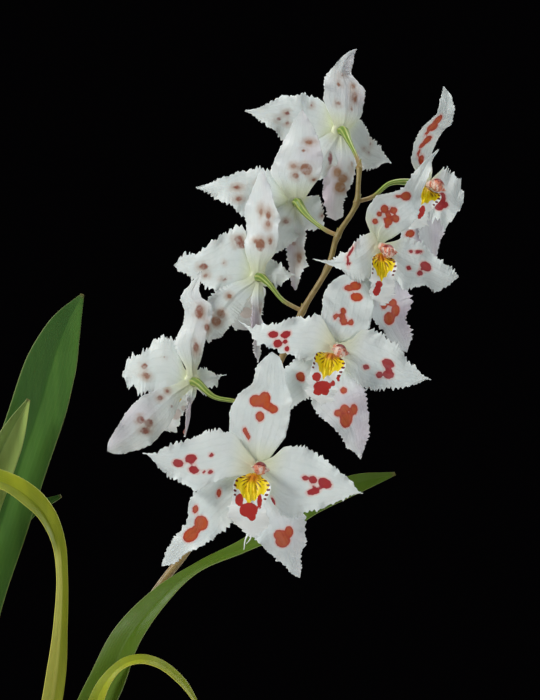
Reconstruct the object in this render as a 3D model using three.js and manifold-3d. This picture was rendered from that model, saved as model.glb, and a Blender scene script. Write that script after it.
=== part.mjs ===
import * as THREE from "three";
import { mergeVertices } from "three/addons/utils/BufferGeometryUtils.js";
import Module from "manifold-3d";

// A potted odontoglossum crispum orchid in flower, in millimetres. Z is up and the origin is the
// middle of the pot's underside. The flower spike leans towards +X. Four blooms face the front,
// which is -Y, and the four on the other side of the spike turn their backs to it.

const wasm = await Module();
wasm.setup();

// The gap kept between pieces that rest on or in each other, and how far a fused mesh may be
// smoothed to drop needless triangles
const SEAT_GAP = 0.3;
const FUSE_TOLERANCE = 0.1;

// The pot
const POT_HEIGHT = 110;
const POT_FLOOR = 6;
const POT_FOOT_RADIUS = 43;
const POT_NECK_RADIUS = 57.5;
const POT_RIM_RADIUS = 62.5;
const POT_RIM_HEIGHT = 18;
const POT_WALL = 5;
const POT_SEGMENTS = 26;
const DRAIN_HOLES = 5;
const DRAIN_RADIUS = 4;
const DRAIN_RING_RADIUS = 22;

// The bark that fills the pot
const BARK_LEVEL = 98;
const BARK_SHOULDER = 2;
const BARK_TOLERANCE = 0.12;
const BARK_CHIPS = 18;
const BARK_CHIP_REACH = 43;
// Each chip is turned this far round the pot from the one before, in radians
const BARK_CHIP_TURN = 2.4;
// The least length, width and thickness of a chip, and how much each may grow
const BARK_CHIP_LEAST = [9, 6, 4];
const BARK_CHIP_GROWTH = [6, 4, 3];
const BARK_CHIP_TILT = 0.3;
// A plain hole for a stem that stands in the bark
const HOLE_DEPTH = 30;
const HOLE_SIDES = 10;
const SPIKE_HOLE_CLEARANCE = 0.5;
const LEAF_HOLE_CLEARANCE = 1;

// The pseudobulbs: the middle of each on the bark, its top, and its half width and half depth
const BULB_BOTTOM = 85;
const BULB_SEGMENTS = 12;
const PSEUDOBULBS = [
  { name: "pseudobulb_front", x: 20, y: -4, top: 165, halfWidth: 16, halfDepth: 12 },
  { name: "pseudobulb_middle", x: -14, y: 0, top: 165, halfWidth: 15, halfDepth: 11 },
  { name: "pseudobulb_back", x: -30, y: 23, top: 150, halfWidth: 13, halfDepth: 9 },
];
// Radius over the half width, and height over the whole height, from the foot to the leaf scar
const BULB_PROFILE = [
  [0, 0],
  [0.5, 0],
  [0.8, 0.1],
  [0.97, 0.25],
  [1, 0.4],
  [0.9, 0.58],
  [0.7, 0.77],
  [0.44, 0.93],
  [0.31, 1],
  [0, 1],
];

// The leaves: each station is a point of the midrib, the width there and the turn about the
// midrib in degrees. A leaf with no turn lies flat to the front.
const LEAF_THICKNESS = 1.2;
const LEAF_ROWS = 12;
const LEAVES = [
  {
    name: "leaf_tall",
    fold: 0.22,
    stations: [
      [-13.5, 1.2, 165.7, 8, 5],
      [-12.5, 1.6, 185, 11, 5],
      [-10.5, 3, 218, 17, 5],
      [-4.5, 4, 250, 21, 4],
      [4.5, 4, 280, 23, 2],
      [13, 3, 306, 23, 0],
      [19.5, 2, 325, 23, 0],
      [24.5, 1, 342, 21.5, 0],
      [30.5, 0, 359, 14, 0],
      [38, 0, 373, 1.4, 0],
    ],
  },
  {
    name: "leaf_folded",
    fold: 0.7,
    stations: [
      [-15, -1.4, 165.7, 7.5, 10],
      [-15.5, -3, 185, 9, 15],
      [-17, -7, 220, 14, 25],
      [-14, -9.5, 255, 16, 30],
      [-5.5, -10.5, 285, 16, 32],
      [6, -10.5, 312, 13, 30],
      [16, -10, 330, 1.4, 20],
    ],
  },
  {
    name: "leaf_arching",
    fold: 0.4,
    stations: [
      [20.5, -5.4, 165.7, 8, 10],
      [21.5, -7, 185, 9, 20],
      [26, -10, 216, 9.5, 35],
      [28, -12, 238, 8.5, 50],
      [28.5, -14, 258, 8.5, 60],
      [27, -17, 272, 9, 53],
      [22.3, -19, 283, 10, 42],
      [15.5, -21.5, 290, 11, 38],
      [6, -24, 295.5, 11, 45],
      [-8, -26, 298, 12, 50],
      [-27, -27, 289, 9, 45],
      [-44, -27, 272, 1.4, 40],
    ],
  },
  {
    name: "leaf_long",
    fold: 0.3,
    stations: [
      [22, -2.6, 165.7, 8, 0],
      [25, -4.2, 183, 11.5, -5],
      [38, -6.3, 196, 14, -10],
      [47.5, -9, 212, 15.5, -18],
      [57, -10, 232, 14.5, -36],
      [71, -11.5, 248.5, 12.5, -54],
      [86, -13, 260.5, 10, -68],
      [103, -14, 268.5, 10.5, -62],
      [119, -14, 277, 12.5, -50],
      [134, -13, 287.5, 11.5, -35],
      [150, -11, 295, 8, -15],
      [166, -8, 299.5, 1.4, -5],
    ],
  },
  {
    name: "leaf_curled",
    fold: 0.25,
    stations: [
      [33, -19, 88.5, 4, 10],
      [33.5, -19, 125, 5, 10],
      [36, -19, 165, 6, 10],
      [41, -18, 196, 6.5, 0],
      [47, -18.5, 213, 6.5, -35],
      [54.5, -19, 221, 6.5, -55],
      [62, -19, 223.5, 6.5, -55],
      [70, -19, 221.5, 6, -55],
      [78.5, -19, 214.5, 5, -55],
      [87, -19, 202, 1.4, -55],
    ],
  },
  {
    name: "leaf_behind",
    fold: 0.3,
    stations: [
      [-29, 21.6, 150.7, 7, 0],
      [-28, 21, 170, 10, 0],
      [-21, 19, 210, 14, 0],
      [-9, 17, 246, 14, -5],
      [3, 15, 270, 11, -10],
      [15, 13, 283, 7, -20],
      [29, 12, 290, 1.4, -30],
    ],
  },
  {
    name: "leaf_left",
    fold: 0.3,
    stations: [
      [-31, 24.2, 150.7, 7, 10],
      [-32.5, 24.5, 170, 11, 15],
      [-42, 22, 203, 15, 25],
      [-61, 17, 231, 17, 35],
      [-84, 11, 245, 16, 42],
      [-106, 5, 245, 11, 50],
      [-125, 1, 236, 1.4, 55],
    ],
  },
  {
    name: "leaf_rear",
    fold: 0.35,
    stations: [
      [4, 25, 88.5, 5, 0],
      [4, 26, 125, 8, 0],
      [1, 30, 160, 12, 5],
      [-6, 38, 190, 13, 10],
      [-16, 50, 213, 10, 20],
      [-27, 63, 226, 1.4, 30],
    ],
  },
];

// The flower spike: points along its middle from inside the bark to its tip
const SPIKE_FOOT_RADIUS = 2.4;
const SPIKE_TIP_RADIUS = 0.95;
const SPIKE_SIDES = 6;
const SPIKE_STEPS = 20;
const SPIKE = [
  [39.5, -4, 88.5],
  [41, -4, 150],
  [47, -3, 206],
  [57.5, -2, 235],
  [70, -2, 254],
  [82.5, -3, 270.5],
  [96.5, -5, 297],
  [104.5, -6, 313.5],
  [110, -6, 326],
  [121, -4, 350],
  [128, -2, 366],
  [138.5, -1, 384],
  [142.5, 0, 397],
  [148.5, 1, 406.5],
  [150.5, 1, 411],
  [151, 2, 418],
  [151.5, 4, 425.5],
];
const PEDICEL_RADIUS = 0.9;
const OVARY_RADIUS = 1.9;
const PEDICEL_SIDES = 5;
const PEDICEL_STEPS = 6;
const OVARY_LENGTH = 3;
const BRACT_LENGTH = 7;
const BRACT_RADIUS = 1.7;
const SHEATH_LENGTH = 17;
const SHEATH_RADIUS = 3.2;
const SCALE_SIDES = 5;
const SCALE_LEAN = 0.3;
const SHEATHS = [
  [40, -4, 112],
  [42.6, -3.8, 160],
  [52.5, -2.4, 222.5],
];

// The blooms: how far the middle of each layer stands in front of the flower's own plane, and
// the form that each kind of blade has
const BLADE_THICKNESS = 0.9;
const BLADE_WAVES = 2.6;
const BLADE_COLUMNS = 4;
const BLADE_ROOT = 1;
const BLADE_TIP_HALF_WIDTH = 0.45;
const LIFT_POWER = 2.3;
// How far one edge's waves run ahead of the other's, in radians
const EDGE_LEAD = 1.9;
// The shares of a blade's length over which its frill, its turn and its sway set in
const FRILL_RISE = [0.25, 0.55];
const TURN_RISE = [0.15, 0.5];
const SWAY_RISE = [0.05, 0.3];
const SEPAL_LAYER = 0;
const PETAL_LAYER = 2.6;
const HUB_RADIUS = 3.4;
const HUB_SIDES = 8;
const SEPAL_HUB_THICKNESS = 1.2;
const PETAL_HUB_TOP = 3.2;
const DORSAL_SEPAL = { rows: 8, peak: 0.5, fullness: 1.65, claw: 5, wave: 1.2, tooth: 0.06, cup: 0.8 };
const LATERAL_SEPAL = { rows: 8, peak: 0.46, fullness: 1.7, claw: 5, wave: 1.1, tooth: 0.06, cup: 0.6 };
const PETAL = { rows: 9, peak: 0.44, fullness: 1.7, claw: 5, wave: 1.3, tooth: 0.1, cup: 0.4 };

// The lip: its middle line as steps down and forward from the bloom's centre, for a lip of full
// length, and its half width against the share of that line
const LIP_LENGTH = 27;
const LIP_LINE = [
  [1.8, PETAL_HUB_TOP + SEAT_GAP],
  [2.5, 6.6],
  [6, 10],
  [12.5, 11],
  [19.5, 9.6],
  [27, 6],
];
const LIP_HALF_WIDTHS = [
  [0, 1.6],
  [0.15, 3.2],
  [0.32, 7.2],
  [0.48, 6.4],
  [0.7, 8],
  [0.88, 6.2],
  [1, 0.5],
];
// How soon the lip's sideways bend sets in, and how far forward of the hub it droops in full
const LIP_SWAY_POWER = 0.8;
const DROOP_REACH = 8.5;
const LIP_ROWS = 8;
const LIP_SIDE_LOBE_RISE = 2.6;
const LIP_WAVES = 3;
const LIP_WAVE_HEIGHT = 1.1;
const LIP_TOOTH = 0.1;
// The callus: where its two teeth stand on the lip, and their size, spread and lean
const CALLUS_PLACE = 0.3;
const CALLUS_TOOTH_LENGTH = 4.2;
const CALLUS_TOOTH_RADIUS = 1;
const CALLUS_SINK = 1.2;
const CALLUS_SPREAD = 1.1;
const CALLUS_FORWARD_LEAN = 1.1;
const CALLUS_SIDE_LEAN = 0.35;

// The column above the lip, with its two wings
const COLUMN_LINE = [
  [-1.2, PETAL_HUB_TOP + SEAT_GAP],
  [-1.4, 8],
  [0.2, 12],
];
const COLUMN_RADII = [
  [0, 1.6],
  [0.5, 1.5],
  [0.82, 2.3],
  [1, 1.5],
];
const COLUMN_STEPS = 4;
const COLUMN_SIDES = 7;
const WING_PLACE = 0.8;
const WING_SPAN = 4.4;
const WING_RADIUS = 1.5;
const WING_FLATNESS = 0.55;
const WING_OFFSET = 1.6;
const WING_FORWARD_LEAN = 0.25;

// Each bloom has its centre, the way it faces and the breadth of its lip against the broadest. A
// blade is given by its tip, as steps across and up from the centre seen from the front, then how
// far the tip bends out of the bloom's plane, forward being positive, then the blade's width and
// the turn of its outer part about its own length in degrees. `sway` bends the dorsal sepal
// forward and then back. `lip` gives the tip of the lip in the same two steps, `lipSway` is how far
// its middle hangs to the left, and `droop` how far lip and column sink at their foremost. `stalk`
// holds the points that the bloom's stalk passes on the way from the spike.
const BLOOMS = [
  {
    name: "bloom_1",
    centre: [109, -46, 301.7],
    facing: [0.18, -0.98, 0.02],
    lipBreadth: 1,
    dorsal: [6.6, 47.6, 3, 24.5, 0],
    petals: [
      [-46.3, 6.6, 0, 23, 0],
      [43, -9.8, 2, 26, 0],
    ],
    laterals: [
      [-38, -39, -3, 19.5, 0],
      [18, -44, -4, 20, 0],
    ],
    lip: [-3.7, -27],
    lipSway: 2.2,
    droop: 0.6,
    stalk: [
      [104.5, -6, 313.5],
      [107, -20, 314],
      [109, -36, 306],
    ],
  },
  {
    name: "bloom_2",
    centre: [140.6, -37, 350],
    facing: [0.27, -0.96, 0.02],
    lipBreadth: 0.95,
    dorsal: [9.8, 30.6, -3, 23, 0],
    petals: [
      [-39.4, 11.9, -9, 19.5, 0],
      [39, -11.9, 0, 24, 0],
    ],
    laterals: [
      [-32, -26.7, -13, 16, 0],
      [11, -44.3, -5, 19, 0],
    ],
    lip: [-6.6, -22],
    lipSway: 3,
    droop: 1.6,
    stalk: [
      [121, -4, 350],
      [128, -15, 354],
      [138, -28, 353],
    ],
  },
  {
    name: "bloom_3",
    centre: [158.7, -26, 391],
    facing: [0.42, -0.91, 0.02],
    lipBreadth: 0.88,
    dorsal: [25, 41, 3, 21.5, 0],
    petals: [
      [-27.5, -4, -9, 17, 0],
      [32, -11, 0, 21, 0],
    ],
    laterals: [
      [-19.3, -28, -15, 14, 0],
      [12, -41.8, -4, 16.5, 0],
    ],
    lip: [-1.5, -22],
    lipSway: 2.6,
    droop: 2.2,
    stalk: [
      [138.5, -1, 384],
      [145, -8, 388],
      [154, -19, 391],
    ],
  },
  {
    name: "bloom_4",
    centre: [178, 10, 417],
    facing: [0.5, -0.866, 0],
    lipBreadth: 0.85,
    dorsal: [8.2, 41.4, 6, 14, 0],
    sway: -4,
    petals: [
      [-16, -13, 0, 13, 0],
      [15, -6, 2, 22, 0],
    ],
    laterals: [
      [-8, -33, -10, 16, 0],
      [4, -31, -3, 13, 0],
    ],
    lip: [-10, -17.5],
    lipSway: 2.4,
    stalk: [
      [150.5, 1, 411],
      [157, 4, 413],
      [164, 8, 418.5],
      [172, 12, 419],
    ],
  },
  {
    name: "bloom_5",
    centre: [144, 37, 440.7],
    facing: [-0.33, 0.94, 0],
    lipBreadth: 0.8,
    dorsal: [6.6, 34, 0, 16.5, 0],
    petals: [
      [-38.5, 8.2, 4, 19, 0],
      [22, -13, 9, 16.5, 0],
    ],
    laterals: [
      [-15.6, -23, 4, 13, 0],
      [-2, -37, 3, 15, 30],
    ],
    lip: [-8, -18],
    stalk: [
      [151.5, 4, 425.5],
      [150.4, 12, 429.5],
      [147.5, 24, 436],
    ],
  },
  {
    name: "bloom_6",
    centre: [125.5, 20, 410.8],
    facing: [-0.22, 0.975, 0],
    lipBreadth: 0.88,
    dorsal: [2.5, 38.5, -2, 19, -20],
    petals: [
      [-40.6, 6.2, 7, 19, 0],
      [12, -10, 8, 15, 0],
    ],
    laterals: [
      [-12, -22, 1, 14, 0],
      [0, -36, 3, 11, 42],
    ],
    lip: [-8, -19],
    stalk: [
      [142.5, 0, 397],
      [137.4, 5, 399.5],
      [131, 10, 404.5],
      [127.5, 15, 409],
    ],
  },
  {
    name: "bloom_7",
    centre: [110, 13, 380],
    facing: [-0.15, 0.99, 0],
    lipBreadth: 0.9,
    dorsal: [1.6, 45, -3, 16, -35],
    petals: [
      [-34.4, 5, 4, 25, 0],
      [15.6, 1, 0, 13, 0],
    ],
    laterals: [
      [-20.5, -27, 2, 16, 0],
      [0, -35, 1, 10, -50],
    ],
    lip: [-8, -22],
    stalk: [
      [128, -2, 366],
      [120, 0.5, 370.6],
      [114.8, 3, 376.8],
      [111.6, 7, 379.8],
    ],
  },
  {
    name: "bloom_8",
    centre: [83.2, 7, 337],
    facing: [-0.3, 0.95, 0],
    lipBreadth: 0.92,
    dorsal: [3.3, 45.5, -4, 16, -28],
    petals: [
      [-28.3, 3, 9, 26, 0],
      [14.4, 3, 6, 14, 35],
    ],
    laterals: [
      [-35, -28.3, 0, 18, 0],
      [-3.3, -22.6, 2, 10, -68],
    ],
    lip: [-12, -20],
    stalk: [
      [110, -6, 326],
      [101, -5, 329],
      [91.8, -4, 331],
      [86, -1, 336],
    ],
  },
];

// Colours, roughness and metalness
const FINISHES = {
  terracotta: { color: 0xb5674a, roughness: 0.9 },
  bark: { color: 0x5a3a26, roughness: 0.95 },
  pseudobulb: { color: 0x7f9a4d, roughness: 0.5 },
  leaf: { color: 0x4b7a38, roughness: 0.45 },
  spike: { color: 0x9a7a3c, roughness: 0.6 },
  sepal: { color: 0xe9e4ea, roughness: 0.6 },
  petal: { color: 0xf3f1f2, roughness: 0.6 },
  lip: { color: 0xe5c437, roughness: 0.6 },
  column: { color: 0xd9795f, roughness: 0.5 },
};

const potted = new THREE.Group();

function addPiece(name, geometry, finish) {
  const piece = new THREE.Mesh(
    geometry,
    new THREE.MeshStandardMaterial({ metalness: 0, ...FINISHES[finish] }),
  );
  piece.name = name;
  potted.add(piece);
}

// A closed mesh as a solid that can be joined and cut
function solidFrom(geometry) {
  const bare = geometry.clone();
  bare.deleteAttribute("normal");
  bare.deleteAttribute("uv");
  const merged = mergeVertices(bare, 1e-4);
  return new wasm.Manifold(
    new wasm.Mesh({
      numProp: 3,
      vertProperties: merged.attributes.position.array,
      triVerts: new Uint32Array(merged.index.array),
    }),
  );
}

// The largest body of a solid as a mesh, so that no loose crumb stays beside it
function geometryFrom(solid) {
  const bodies = solid.decompose();
  const largest = bodies.reduce((a, b) => (a.volume() > b.volume() ? a : b));
  const { vertProperties, triVerts } = largest.getMesh();
  const geometry = new THREE.BufferGeometry();
  geometry.setAttribute("position", new THREE.BufferAttribute(vertProperties, 3));
  geometry.setIndex(new THREE.BufferAttribute(triVerts, 1));
  geometry.computeVertexNormals();
  return geometry;
}

function fuse(geometries) {
  const joined = geometries.map(solidFrom).reduce((a, b) => a.add(b));
  return joined.simplify(FUSE_TOLERANCE);
}

function indexedGeometry(positions, index) {
  const geometry = new THREE.BufferGeometry();
  geometry.setAttribute("position", new THREE.Float32BufferAttribute(positions, 3));
  geometry.setIndex(index);
  return geometry;
}

// Repeatable draws between 0 and 1
function seededDraws(seed) {
  let state = seed;
  return () => {
    state = (state * 1664525 + 1013904223) % 4294967296;
    return state / 4294967296;
  };
}

// The value at `along` on straight steps between [along, value] pairs
function stepped(pairs, along) {
  const next = Math.max(1, pairs.findIndex(([at]) => at >= along));
  const [at0, value0] = pairs[next - 1];
  const [at1, value1] = pairs[next];
  return value0 + ((value1 - value0) * (along - at0)) / (at1 - at0);
}

function smoothRise(from, to, value) {
  const share = Math.min(1, Math.max(0, (value - from) / (to - from)));
  return share * share * (3 - 2 * share);
}

// A thin closed sheet. middle(along, across, row) gives the point and the direction of the
// thickness for along 0..1 and across -1..1. Both faces are split into the same triangles.
function sheet(rows, columns, thickness, middle) {
  const positions = [];
  for (const face of [0.5, -0.5])
    for (let row = 0; row <= rows; row++)
      for (let column = 0; column <= columns; column++) {
        const { point, normal } = middle(row / rows, (2 * column) / columns - 1, row);
        positions.push(...point.addScaledVector(normal, face * thickness).toArray());
      }
  const perRow = columns + 1;
  const back = (rows + 1) * perRow;
  const index = [];
  for (let row = 0; row < rows; row++)
    for (let column = 0; column < columns; column++) {
      const a = row * perRow + column;
      const b = a + perRow;
      index.push(a, b, b + 1, a, b + 1, a + 1);
      index.push(back + a, back + b + 1, back + b, back + a, back + a + 1, back + b + 1);
    }
  const rim = [];
  for (let row = 0; row < rows; row++) rim.push(row * perRow);
  for (let column = 0; column < columns; column++) rim.push(rows * perRow + column);
  for (let row = rows; row > 0; row--) rim.push(row * perRow + columns);
  for (let column = columns; column > 0; column--) rim.push(column);
  rim.forEach((a, i) => {
    const b = rim[(i + 1) % rim.length];
    index.push(b, a, back + a, b, back + a, back + b);
  });
  return indexedGeometry(positions, index);
}

// A closed round bar along a curve, with its radius given against the share of its length
function taperedBar(curve, steps, sides, radiusAt) {
  const frames = curve.computeFrenetFrames(steps, false);
  const positions = [];
  for (let step = 0; step <= steps; step++) {
    const middle = curve.getPointAt(step / steps);
    const radius = radiusAt(step / steps);
    for (let side = 0; side < sides; side++) {
      const angle = (2 * Math.PI * side) / sides;
      const point = middle
        .clone()
        .addScaledVector(frames.normals[step], radius * Math.cos(angle))
        .addScaledVector(frames.binormals[step], radius * Math.sin(angle));
      positions.push(...point.toArray());
    }
  }
  const start = (steps + 1) * sides;
  const end = start + 1;
  positions.push(...curve.getPointAt(0).toArray(), ...curve.getPointAt(1).toArray());
  const index = [];
  for (let side = 0; side < sides; side++) {
    const next = (side + 1) % sides;
    for (let step = 0; step < steps; step++) {
      const a = step * sides;
      const b = a + sides;
      index.push(a + side, a + next, b + next, a + side, b + next, b + side);
    }
    index.push(start, next, side);
    index.push(end, steps * sides + side, steps * sides + next);
  }
  return indexedGeometry(positions, index);
}

const vectors = (points) => points.map((point) => new THREE.Vector3(...point));

// A geometry whose own +Y is turned to `axis` and whose origin is moved to `place`
function standing(geometry, axis, place) {
  const turn = new THREE.Quaternion().setFromUnitVectors(
    new THREE.Vector3(0, 1, 0),
    axis.clone().normalize(),
  );
  return geometry.applyQuaternion(turn).translate(...place.toArray());
}

function turned(profile, segments) {
  const points = profile.map(([radius, height]) => new THREE.Vector2(radius, height));
  return new THREE.LatheGeometry(points, segments).rotateX(Math.PI / 2);
}

const potInnerRadius = (height) =>
  POT_FOOT_RADIUS -
  POT_WALL +
  ((POT_RIM_RADIUS - POT_FOOT_RADIUS) * (height - POT_FLOOR)) / (POT_HEIGHT - POT_FLOOR);

function pot() {
  const neck = POT_HEIGHT - POT_RIM_HEIGHT;
  let shell = solidFrom(
    turned(
      [
        [0, 0],
        [POT_FOOT_RADIUS, 0],
        [POT_NECK_RADIUS, neck],
        [POT_RIM_RADIUS - 1, neck + 0.8],
        [POT_RIM_RADIUS, POT_HEIGHT - 2],
        [POT_RIM_RADIUS - 1.6, POT_HEIGHT],
        [potInnerRadius(POT_HEIGHT), POT_HEIGHT],
        [potInnerRadius(POT_FLOOR), POT_FLOOR],
        [0, POT_FLOOR],
      ],
      POT_SEGMENTS,
    ),
  );
  for (let hole = 0; hole < DRAIN_HOLES; hole++) {
    const angle = (2 * Math.PI * hole) / DRAIN_HOLES;
    const drill = new THREE.CylinderGeometry(DRAIN_RADIUS, DRAIN_RADIUS, 3 * POT_FLOOR, 8)
      .rotateX(Math.PI / 2)
      .translate(DRAIN_RING_RADIUS * Math.cos(angle), DRAIN_RING_RADIUS * Math.sin(angle), 0);
    shell = shell.subtract(solidFrom(drill));
  }
  return geometryFrom(shell);
}

// A pseudobulb, flattened front to back, or the hollow for it when it is given a gap
function pseudobulb({ x, y, top, halfWidth, halfDepth }, gap = 0) {
  const bottom = BULB_BOTTOM - gap;
  const profile = BULB_PROFILE.map(([radius, height]) => [
    radius && radius * halfWidth + gap,
    bottom + height * (top - bottom),
  ]);
  return turned(profile, BULB_SEGMENTS)
    .scale(1, (halfDepth + gap) / (halfWidth + gap), 1)
    .translate(x, y, 0);
}

function bark() {
  const draw = seededDraws(7);
  const bottom = POT_FLOOR + SEAT_GAP;
  const shoulder = BARK_LEVEL - BARK_SHOULDER;
  const bed = turned(
    [
      [0, bottom],
      [potInnerRadius(bottom) - SEAT_GAP, bottom],
      [potInnerRadius(shoulder) - SEAT_GAP, shoulder],
      [BARK_CHIP_REACH, BARK_LEVEL],
      [0, BARK_LEVEL],
    ],
    POT_SEGMENTS,
  );
  const chips = [];
  for (let chip = 0; chip < BARK_CHIPS; chip++) {
    // The square root spreads the chips evenly over the round bed
    const radius = BARK_CHIP_REACH * Math.sqrt((chip + 0.5) / BARK_CHIPS);
    const angle = chip * BARK_CHIP_TURN + draw();
    const size = BARK_CHIP_LEAST.map((least, side) => least + BARK_CHIP_GROWTH[side] * draw());
    const block = new THREE.BoxGeometry(...size)
      .rotateX(BARK_CHIP_TILT * (2 * draw() - 1))
      .rotateY(BARK_CHIP_TILT * (2 * draw() - 1))
      .rotateZ(2 * Math.PI * draw())
      .translate(radius * Math.cos(angle), radius * Math.sin(angle), BARK_LEVEL + draw());
    chips.push(block);
  }
  let filled = fuse([bed, ...chips]);
  for (const bulb of PSEUDOBULBS) {
    filled = filled.subtract(solidFrom(pseudobulb(bulb, SEAT_GAP)));
  }
  const feet = LEAVES.map(({ stations }) => stations[0]);
  for (const [x, y, foot, width] of feet.filter((station) => station[2] < BARK_LEVEL)) {
    filled = filled.subtract(plainHole(x, y, foot, width / 2 + LEAF_HOLE_CLEARANCE));
  }
  const [x, y, foot] = SPIKE[0];
  filled = filled.subtract(plainHole(x, y, foot, SPIKE_FOOT_RADIUS + SPIKE_HOLE_CLEARANCE));
  return geometryFrom(filled.simplify(BARK_TOLERANCE));
}

// A round hole in the bark whose floor is just under what stands in it
function plainHole(x, y, foot, radius) {
  const drill = new THREE.CylinderGeometry(radius, radius, HOLE_DEPTH, HOLE_SIDES)
    .rotateX(Math.PI / 2)
    .translate(x, y, foot - SEAT_GAP + HOLE_DEPTH / 2);
  return solidFrom(drill);
}

// A folded strap whose middle follows the stations of a leaf. At each point the sideways
// direction is turned about the midrib, and the two halves rise from it like a shallow V.
function leaf({ stations, fold }) {
  const midrib = new THREE.CatmullRomCurve3(
    vectors(stations.map(([x, y, z]) => [x, y, z])),
    false,
    "centripetal",
  );
  const toFront = new THREE.Vector3(0, -1, 0);
  const last = stations.length - 1;
  return sheet(LEAF_ROWS, 2, LEAF_THICKNESS, (along, across) => {
    const share = along * last;
    const before = Math.min(last - 1, Math.floor(share));
    const blend = share - before;
    const between = (item) =>
      THREE.MathUtils.lerp(stations[before][item], stations[before + 1][item], blend);
    const halfWidth = between(3) / 2;
    const turn = THREE.MathUtils.degToRad(between(4));
    const tangent = midrib.getTangent(along);
    const front = toFront.clone().addScaledVector(tangent, -toFront.dot(tangent)).normalize();
    const level = front.clone().cross(tangent);
    const sideways = turnedBetween(level, front, turn);
    const normal = turnedBetween(front, level, -turn);
    const point = midrib
      .getPoint(along)
      .addScaledVector(sideways, across * halfWidth)
      .addScaledVector(normal, Math.abs(across) * fold * halfWidth);
    return { point, normal };
  });
}

// `from` turned by an angle towards `to`, which is square to it
function turnedBetween(from, to, angle) {
  return from.clone().multiplyScalar(Math.cos(angle)).addScaledVector(to, Math.sin(angle));
}

// The way from the bloom's centre to a blade's tip, split into its run along the bloom's plane
// and its lift out of it. The tip's depth follows from its place seen from the front.
function bladeReach(facing, [across, up, lift]) {
  const depth = (lift - across * facing.x - up * facing.z) / facing.y;
  const run = new THREE.Vector3(across, depth, up).addScaledVector(facing, -lift);
  return { length: run.length(), outward: run.normalize() };
}

// The share of a blade's full half width: a smooth hump with its peak of 1 at `peak`
function hump(along, peak, fullness) {
  const inside = Math.min(1, Math.max(0, along));
  const rise = (inside / peak) ** (fullness * peak);
  const fall = ((1 - inside) / (1 - peak)) ** (fullness * (1 - peak));
  return rise * fall;
}

// A sepal or petal: flat at its claw, bending towards its tip, cupped across, with a waved and
// toothed edge that leaves the claw plain
function blade(bloom, [across, up, lift, width, turn], kind, layer, seed, sway = 0) {
  const { length, outward } = bladeReach(bloom.facing, [across, up, lift]);
  const level = bloom.facing.clone().cross(outward);
  const draw = seededDraws(seed);
  const teeth = Array.from(
    { length: kind.rows + 1 },
    (_, row) => (row % 2 ? 1 : -1) * (0.5 + draw()),
  );
  const phase = 2 * Math.PI * draw();
  return sheet(kind.rows, BLADE_COLUMNS, BLADE_THICKNESS, (share, offset, row) => {
    const run = BLADE_ROOT + (length - BLADE_ROOT) * share;
    const along = run / length;
    const frill = smoothRise(...FRILL_RISE, along) * offset * offset;
    const swell = hump(along, kind.peak, kind.fullness) * (1 + kind.tooth * teeth[row] * frill);
    const clawHalfWidth = (kind.claw / 2) * (1 - along);
    const halfWidth = Math.max((width / 2) * swell, clawHalfWidth, BLADE_TIP_HALF_WIDTH);
    const lead = offset < 0 ? EDGE_LEAD : 0;
    const wave = Math.sin(2 * Math.PI * BLADE_WAVES * along + phase + lead);
    const rise =
      kind.cup * offset * offset * Math.sin(Math.PI * along) +
      kind.wave * wave * frill * (1 - along ** 4);
    const bend = sway * Math.sin(2 * Math.PI * along) * smoothRise(...SWAY_RISE, along);
    const height = layer + lift * along ** LIFT_POWER + bend;
    const twist = THREE.MathUtils.degToRad(turn) * smoothRise(...TURN_RISE, along);
    const side = turnedBetween(level, bloom.facing, twist);
    const normal = turnedBetween(bloom.facing, level, -twist);
    const point = bloom.centre
      .clone()
      .addScaledVector(outward, run)
      .addScaledVector(bloom.facing, height)
      .addScaledVector(side, offset * halfWidth)
      .addScaledVector(normal, rise);
    return { point, normal };
  });
}

// A short round boss between two heights over the bloom's plane, where its blades meet
function hub(bloom, from, to) {
  const disc = new THREE.CylinderGeometry(HUB_RADIUS, HUB_RADIUS, to - from, HUB_SIDES);
  const place = bloom.centre.clone().addScaledVector(bloom.facing, (from + to) / 2);
  return standing(disc, bloom.facing, place);
}

// A point of the bloom given as steps down towards the lip's tip and forward
function lipPlane(bloom) {
  const { outward: down } = bladeReach(bloom.facing, [...bloom.lip, 0]);
  const { droop = 0, lipSway = 0 } = bloom;
  return {
    down,
    side: bloom.facing.clone().cross(down),
    sway: (along) => -lipSway * Math.sin(Math.PI * along ** LIP_SWAY_POWER),
    place: (steps, forward) => {
      const sunk = steps + (droop * (forward - PETAL_HUB_TOP)) / DROOP_REACH;
      return bloom.centre.clone().addScaledVector(down, sunk).addScaledVector(bloom.facing, forward);
    },
  };
}

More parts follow.
